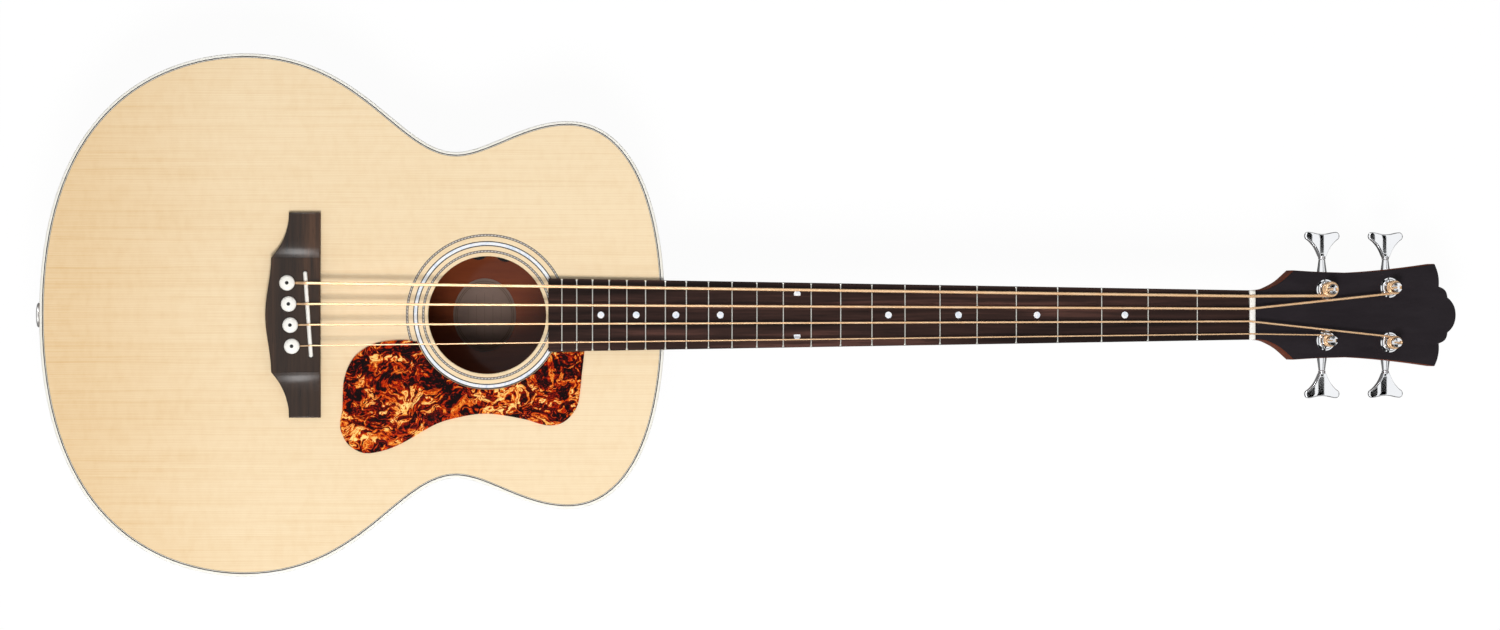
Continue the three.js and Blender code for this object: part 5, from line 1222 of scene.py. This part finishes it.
def neck_core():
    """Shaft and heel grown together, then trimmed flat where they meet their neighbours."""
    sections = []
    for x in np.linspace(BODY_END - 6, SCALE + NUT, 40):
        share = (SCALE - x) / (SCALE - BODY_END)
        sections.append(neck_section(x, board_half(min(x, SCALE)), NECK_DEPTH + 4.5 * share))
    for past, thinner in ((8, 0), (18, 0.3), (30, 1)):
        sections.append(neck_section(HEAD_X + past, NUT_HALF, NECK_DEPTH - thinner))
    heel = [heel_section(share) for share in np.linspace(-0.08, 1, 26)]
    grown = organic(join(loft(sections), loft(heel)), 1.3, 14, 0.35)
    start, past = BODY_END + RUN, 60
    far, fall = HEAD_X + past, 8 + past * math.tan(TILT)
    keep = [(start, HEEL_LOW), (start, TOP), (SCALE + NUT + 0.3, TOP), (far, HEAD_Z - fall), (far, HEEL_LOW)]
    return carve(grown, wall(keep, -60, 60), "INTERSECT")


def bowed(a, b, bow, steps=12):
    """A curve from a to b that stands out by bow in its middle."""
    a, b = np.array(a, float), np.array(b, float)
    t = np.linspace(0, 1, steps + 1)[1:, None]
    across = np.array([a[1] - b[1], b[0] - a[0]]) / np.linalg.norm(b - a)
    return a + (b - a) * t + across * 4 * bow * t * (1 - t)


def head_outline(inset=0.0):
    """The headstock: it flares out of the neck, narrows, widens to its end and closes in three bows."""
    flare_end, wide = 34.9, 37.6
    waist_end, waist = 82, 35.8
    tips = [(165.2, 43.6), (169.3, 24.2), (177.4, 15.2), (185.2, 0)]
    flare = np.linspace(0, flare_end, 24)
    shares = curve_at(flare / flare_end, [0, 0.25, 0.46, 0.66, 1], [0, 0.05, 0.21, 0.43, 1])
    side = np.linspace(flare_end, waist_end, 14)[1:]
    middle = (flare_end + waist_end) / 2
    side_y = curve_at(side, [flare_end, middle, waist_end], [wide, wide - 0.67 * (wide - waist), waist])
    share = np.linspace(0, 1, 16)[1:]
    end_x, end_y = waist_end + 83.2 * share, waist + 7.8 * share**1.5
    half = [*zip(flare, NUT_HALF + (wide - NUT_HALF) * shares), *zip(side, side_y), *zip(end_x, end_y)]
    for a, b, bow in zip(tips, tips[1:], (1.6, 2.4, 2.2)):
        half += [tuple(p) for p in bowed(a, b, bow)]
    half = np.array(half)
    loop = np.concatenate([half, half[-2::-1] * [1, -1]])
    return inset_loop(loop, inset) if inset else loop


def bored(shape):
    """A plate of the headstock with the holes for the posts' bushings."""
    return carve(shape, join(*(moved(rod(6, -40, 10, 40), x, y) for x, y in POSTS)))


def neck_pieces():
    head = placed(bored(plate([head_outline()], HEAD_BACK, -VENEER, 0.5)), HEAD)
    tenon = box(BODY_END - 25, BODY_END + 3, -HEEL_HALF, HEEL_HALF, 51, 98)
    add("neck_wood", join(neck_core(), head, tenon), "neck_mahogany", ["neck"], sharp=30)
    face = bored(plate([head_outline(0.4)], PROUD - VENEER, 0, 0.25))
    add("head_face", placed(face, HEAD), "black_veneer", ["headstock_veneer"])
    cap = plate([half_round(HEEL_LENGTH, HEEL_HALF, 41)], 30, HEEL_LOW - 0.05, 0.5)
    add("heel_plate", cap, "binding", ["heel_cap"])


# Tuning machines, made about the post's axis with the key towards +Y


def towards_key(shape):
    """What was turned about the Z axis, turned to lie along the key's axis."""
    return turned(shape, -math.pi / 2, "X")


def rounded_plan(x1, x2, half, corner):
    made = []
    centres = [(x2 - corner, half - corner), (x1 + corner, half - corner)]
    centres += [(x, -y) for x, y in centres[::-1]]
    for quarter, (cx, cy) in enumerate(centres):
        for a in np.radians(90 * quarter + np.linspace(0, 90, 7)):
            made.append((cx + corner * math.cos(a), cy + corner * math.sin(a)))
    return made


def housing(post_y):
    """The case on its foot, with the nose that the key's shaft runs in."""
    case = plate([rounded_plan(-6.3, 13.7, 8.4, 3)], CASE_LOW, HEAD_BACK - 1.3, 0.9, 3)
    foot = plate([rounded_plan(-7.3, 14.3, 10.4, 3.2)], HEAD_BACK - 1.5, HEAD_BACK - PROUD, 0.35)
    tip = NOSE_END - post_y
    profile = [(0, 0), (4.7, 0), (4.7, 9.4), (4.4, tip - 13), (4.0, tip - 9.5), (3.35, tip - 5)]
    profile += [(2.9, tip - 1.5), (2.8, tip - 0.3), (2.5, tip), (0, tip)]
    along_key = lathe(profile, 40), rod(2, -8, 60), rod(3.2, -4, 4)
    nose, bore, worm_room = (moved(towards_key(shape), WORM_OUT, 0, GEAR_Z) for shape in along_key)
    gear_room = rod(GEAR_R + 0.4, GEAR_Z - GEAR_HALF - RUN, GEAR_Z + GEAR_HALF + RUN, 40)
    shaft = rod(4.3, GEAR_Z, HEAD_BACK + 5, 40)
    return carve(join(case, foot, nose), join(gear_room, shaft, bore, worm_room))


def small_screw(x, y):
    """A domed screw head with a cross slot, facing down."""
    head = lathe([(0, -1.3), (1.1, -1.2), (1.9, -0.8), (2.2, 0), (0, 0)], 24)
    slot = box(-1.5, 1.5, -0.25, 0.25, -2, -0.7)
    return moved(carve(head, join(slot, turned(slot, math.pi / 2, "Z"))), x, y, CASE_LOW)


def bushing():
    """A tube through the headstock with a stepped flange on its face."""
    flange = [(8.6, PROUD), (8.6, 0.6), (8.4, 0.95), (7.4, 1.15), (7.2, 1.5), (7.0, 2.1), (6.6, 2.4)]
    mouth = [(5.2, 2.5), (5.0, 2.3), (4.4, 2.3), (4.3, 2.1)]
    outside = [(4.3, HEAD_BACK), (5.9, HEAD_BACK), (5.9, PROUD)]
    return lathe([*outside, *flange, *mouth, (4.3, HEAD_BACK)], 56)


def gear():
    """A toothed wheel: for each tooth a place in the gap before it and the two corners of its tip."""
    step = 2 * math.pi / TEETH
    turns = np.arange(TEETH)[:, None] * step + np.array([-step / 2, -0.03, 0.03])
    radii = np.array([4.0, GEAR_R, GEAR_R]) + 0 * turns
    ring = np.stack([radii * np.cos(turns), radii * np.sin(turns)], 2).reshape(-1, 2)
    return loft([[(x, y, GEAR_Z + z) for x, y in ring] for z in (-GEAR_HALF, GEAR_HALF)])


def post():
    """The post with its waist, its slotted top and its gear."""
    waist = [(4, 2.6), (3.85, 3.4), (POST_R, 5), (POST_R, 13.6), (3.8, 13.9), (4.2, 14.2)]
    top = [(4.3, 14.6), (4.3, 15.7), (4.15, 16.2), (3.8, 16.55), (0, 16.6)]
    slot = box(-6, 6, -1.5, 1.5, POST_SLOT - 0.1, 20)
    return join(carve(lathe([(0, GEAR_Z), (4, GEAR_Z), *waist, *top], 56), slot), gear())


# The key's button: places out from its middle, and the edges towards the post and away from it
KEY_OUT = [0, 1.4, 2.4, 3, 3.6, 4.4, 5.4, 6.6, 8, 9.5, 11, 12.2, 13.2, 14.1, 14.9, 15.5, 15.9, 16.15, 16.25]
KEY_INNER = [
    [0, 2.4, 3.2, 3.8, 4.6, 6, 7.6, 9.6, 11.6, 13, 14.2, 15.2, 15.9, 16.25],
    [-1.2, -1, 0.2, 1.4, 3.2, 5.8, 8.2, 10.4, 12.3, 13.4, 14.1, 14.9, 15.9, 17],
]
KEY_OUTER = [
    [0, 4, 8, 11, 12.7, 14.2, 15.2, 15.9, 16.25],
    [18.9, 19.2, 20, 20.6, 20.75, 20.4, 19.6, 18.5, 17.2],
]


def button_section(out):
    """The button cut at a place out from its middle, thinner towards its tips, with round edges."""
    low, high = curve_at(out, *KEY_INNER), curve_at(out, *KEY_OUTER)
    thick = 2.6 - out**2 / 194
    soft = min(0.95, thick * 0.9, (high - low) * 0.48)
    thick *= 1 - 0.7 * max(0, (out - 15.2) / 1.05) ** 2
    quarter, flat = np.radians(np.linspace(0, 90, 7)), np.linspace(high - soft, low + soft, 7)[1:-1]
    y = [*(high - soft + soft * np.cos(quarter)), *flat, *(low + soft - soft * np.sin(quarter))]
    edge = thick - soft + soft * np.sin(quarter)
    z = [*edge, *[thick] * len(flat), *(thick - soft + soft * np.cos(quarter))]
    face = np.stack([np.full(len(y), out), y, z], 1)
    return np.concatenate([face, face[::-1] * [1, 1, -1]])


def key(post_y):
    """The button with its two wings, on its collar, shaft and worm."""
    start = NOSE_END - post_y + SEAT
    loops = [button_section(out) for out in KEY_OUT]
    button = moved(loft([*(loop * [-1, 1, 1] for loop in loops[:0:-1]), *loops]), y=start + 2.4)
    collar = [(2.9, 0), (3.15, 0.25), (3.15, 0.8), (2.85, 1.1), (3.15, 1.4), (3.15, 2.1), (2.9, 2.4)]
    shaft = [(0, -6), (1.7, -6), (1.7, start)]
    stem = [*shaft, *((r, start + z) for r, z in collar), (2.2, start + 4.5), (0, start + 4.5)]
    return join(button, towards_key(lathe(stem, 36)), worm())


def worm():
    """A screw thread of three turns about the key's axis."""
    root, height, half_crest, flank = 1.85, 0.95, 0.15, 0.36
    pitch, turn, loops = math.pi / 2, around(20), []
    for along in np.linspace(-1.5, 1.5, 37) * pitch:
        phase = along / pitch - turn / (2 * math.pi)
        share = np.abs(phase - np.round(phase)) * pitch
        radius = root + height * np.clip((half_crest + flank - share) / flank, 0, 1)
        loops.append(np.stack([radius * np.cos(turn), np.full(20, along), -radius * np.sin(turn)], 1))
    return loft(loops)


def machine_pieces():
    for i, name in enumerate(NAMES):

        def fitted(shape, sign=sign_of(i), place=POSTS[i]):
            return placed(moved(shape if sign > 0 else mirrored(shape), *place), HEAD)

        out, node = abs(POSTS[i][1]), f"tuner_{name}_"
        screws = join(small_screw(3.7, 4.6), small_screw(3.7, -4.6))
        turner = moved(key(out), WORM_OUT, 0, GEAR_Z)
        add("gearbox_" + name, fitted(housing(out)), "chrome", [node + "housing"], sharp=40)
        add("gearbox_screws_" + name, fitted(screws), "chrome", sharp=40)
        add("ferrule_" + name, fitted(bushing()), "chrome", [node + "bushing"], sharp=40)
        add("string_post_" + name, fitted(post()), "chrome", [node + "post"], body="post_" + name, sharp=40)
        add("tuning_key_" + name, fitted(turner), "chrome", [node + "key"], body="key_" + name, sharp=50)


# Electrics and label


def thumbwheel():
    """A wheel with a milled rim, on its axle."""
    turn = around(120)
    radius = WHEEL_R + 0.17 + 0.175 * np.clip(1.6 * np.cos(turn * 30), -1, 1)
    rim = np.stack([radius * np.cos(turn), radius * np.sin(turn)], 1)
    return join(plate([rim], -1.3, 1.3, 0.25), rod(1.4, -3.3, 0))


def jack():
    """Its bore with the button round the mouth, the washer on the rib, and the tube inside the body."""
    face = -SEAT
    out = face - 8.4
    button = [(0, 26), (3.4, 26), (3.4, 0.6), (3.9, 0), (8.4, 0), (9.6, 0.25), (10.2, 0.8)]
    button += [(10.4, 1.5), (10.2, 2.3), (9.2, 2.9), (7.6, 3.3), (6.6, 4.6)]
    washer = [(6.6, -1.6), (8.8, -1.2), (10.0, -0.4), (10.0, 0), (6.2, 0), (6.2, 49), (0, 49)]
    profile = [*((r, out + z) for r, z in button), *((r, face + z) for r, z in washer)]
    return moved(turned(lathe(profile, 56), math.pi / 2, "Y"), BODY_TAIL, 0, JACK_Z)


def battery():
    """A nine-volt block with its two snaps, lying in its place."""
    low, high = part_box("battery")
    middle = (low + high) / 2 * 1000 + Vector((X_OFFSET, 0, 0))
    plan = np.array(rounded_plan(-13.2, 13.2, 8.7, 2))
    case, rim = plate([plan], -24.2, 21.6, 0.6), plate([plan * 0.94], 21.5, 22.2, 0.2)
    snap = lathe([(0, 22), (2.9, 22), (2.9, 24), (2.4, 24.2), (0, 24.2)], 24)
    cup = lathe([(0, 22), (3.9, 22), (4.2, 24.2), (3.2, 24.2), (3.0, 22.4), (0, 22.4)], 8)
    whole = join(case, rim, moved(snap, -6.2), moved(cup, 6.2))
    return moved(turned(turned(whole, math.pi / 2, "Y"), math.pi / 2, "X"), *middle)


def label():
    """An oval sheet that follows the back."""
    shares = np.array([0.001, *np.linspace(0, 1, 9)[1:]])
    plan = circle(0, 0, 1, 72) * [LABEL_LENGTH, LABEL_WIDTH]
    loops = []
    for lift, order in ((PLATE + 0.05, shares), (PLATE + 0.4, shares[::-1])):
        loops += [at_back(plan * share + [LABEL_X, 0], lift) for share in order]
    return loft(loops)


def inside_pieces():
    for node, along in (("volume_wheel", -7.3), ("tone_wheel", 15)):
        out = math.sqrt((HOLE_R + WHEEL_R - 2.4) ** 2 - along**2)
        wheel = moved(thumbwheel(), HOLE_X + along, out, TOP_UNDER - 3.4)
        add(node + "_rim", wheel, "black_plastic", [node], body=node + "_body")
    add("jack_button", jack(), "jack_metal", ["endpin_jack"], sharp=30)
    add("block_battery", battery(), "battery_case", ["battery"])
    add("label", label(), "label_paper", ["paper_label"])


# Studio


def floor(size, shade):
    """White to the camera, with part of its light left to what falls on it, so that shadows show."""
    mesh = bpy.data.meshes.new("floor")
    half = size / 2
    corners = [(-half, -half, 0), (half, -half, 0), (half, half, 0), (-half, half, 0)]
    mesh.from_pydata(corners, [], [(0, 1, 2, 3)])
    material = bpy.data.materials.new("floor")
    nodes = Nodes(material)
    nodes.tree.nodes.clear()
    seen_matte, plain, dim = (nodes.node("BsdfDiffuse", 0, {0: (s, s, s, 1)}) for s in (shade, 0.82, 0.2))
    glow = nodes.node("Emission", 0, {"Strength": 1 - 0.8 * shade})
    seen = nodes.node("AddShader", 0, {0: seen_matte, 1: glow})
    lit = nodes.node("MixShader", 0, {0: nodes.ray("Glossy"), 1: plain, 2: dim})
    nodes.end("Material", nodes.node("MixShader", 0, {0: nodes.ray("Camera"), 1: lit, 2: seen}))
    mesh.materials.append(material)
    made = linked("floor", mesh)
    made.location.z = -0.0005


def dark_share(nodes, ways):
    """How dark the world is to mirrors: a dark horizon, and dark strips high up towards the headstock."""
    x, y, z = ways
    turn, off_middle = nodes.math("ARCTAN2", x, z), nodes.math("ABSOLUTE", y)
    treble = nodes.math("LESS_THAN", y, 0)
    bass = nodes.math("SUBTRACT", 1, treble)
    aside = nodes.math("GREATER_THAN", off_middle, 0.0105)
    horizon = nodes.math("LESS_THAN", nodes.math("ABSOLUTE", z), 0.4)
    dark = nodes.math("MULTIPLY", horizon, 0.85)
    # Each strip from and to, in degrees off straight up, and its side
    strips = [(17, 26.5, bass), (34.9, 38.9, bass), (18, 29.3, treble), (32.8, 39.3, treble)]
    for low, high, side in strips:
        above = nodes.math("GREATER_THAN", turn, math.radians(low))
        below = nodes.math("LESS_THAN", turn, math.radians(high))
        inside = nodes.math("MULTIPLY", above, below)
        share = nodes.math("MULTIPLY", inside, nodes.math("MULTIPLY", side, aside))
        dark = nodes.math("MAXIMUM", dark, share)
    return dark


def world(strength):
    """Soft light all round. Mirrors and the camera see it as white, apart from what is dark to mirrors."""
    made = bpy.data.worlds.new("studio")
    nodes = Nodes(made)
    nodes.tree.nodes.clear()
    white = (1, 1, 1, 1)
    dark = dark_share(nodes, nodes.split(nodes.node("TexCoord", "Generated", {})))
    mirrored_dark = nodes.math("MULTIPLY", dark, nodes.ray("Glossy"))
    light = nodes.node("Background", 0, {"Color": white, "Strength": strength})
    bright = nodes.math("SUBTRACT", 1, mirrored_dark)
    shown = nodes.node("Background", 0, {"Color": white, "Strength": bright})
    share = nodes.math("MAXIMUM", nodes.ray("Camera"), nodes.ray("Glossy"))
    share = nodes.math("MAXIMUM", share, nodes.ray("Transmission"))
    nodes.end("World", nodes.node("MixShader", 0, {0: share, 1: light, 2: shown}))
    bpy.context.scene.world = made


def lamp(name, place, aim, size, power):
    data = bpy.data.lights.new(name, "AREA")
    data.shape, data.size, data.size_y, data.energy = "RECTANGLE", size[0], size[1], power
    made = linked(name, data)
    made.location = place
    made.rotation_euler = (Vector(aim) - Vector(place)).to_track_quat("-Z", "Y").to_euler()
    return made


def camera():
    data = bpy.data.cameras.new("camera")
    data.lens, data.sensor_width = 87.33, 36
    made = linked("camera", data)
    made.location = (-0.1729, 0, 3.1448)
    made.rotation_euler = (0, math.radians(-3.18), 0)
    return made


def studio():
    floor(12, 0.05)
    world(0.37)
    lamp("key", (-0.2, -1.2, 2.9), (0, 0, 0.12), (0.9, 0.9), 65).visible_glossy = False
    for side in (-1, 1):
        lamp("shine", (-0.52, 1.75 * side, 1.9), (-0.52, 0, 0.1), (0.5, 0.8), 17).visible_diffuse = False
    bpy.context.scene.camera = camera()
    bpy.context.scene.view_settings.view_transform = "Standard"


body_pieces()
bridge_pieces()
board_pieces()
string_pieces()
neck_pieces()
machine_pieces()
inside_pieces()
studio()
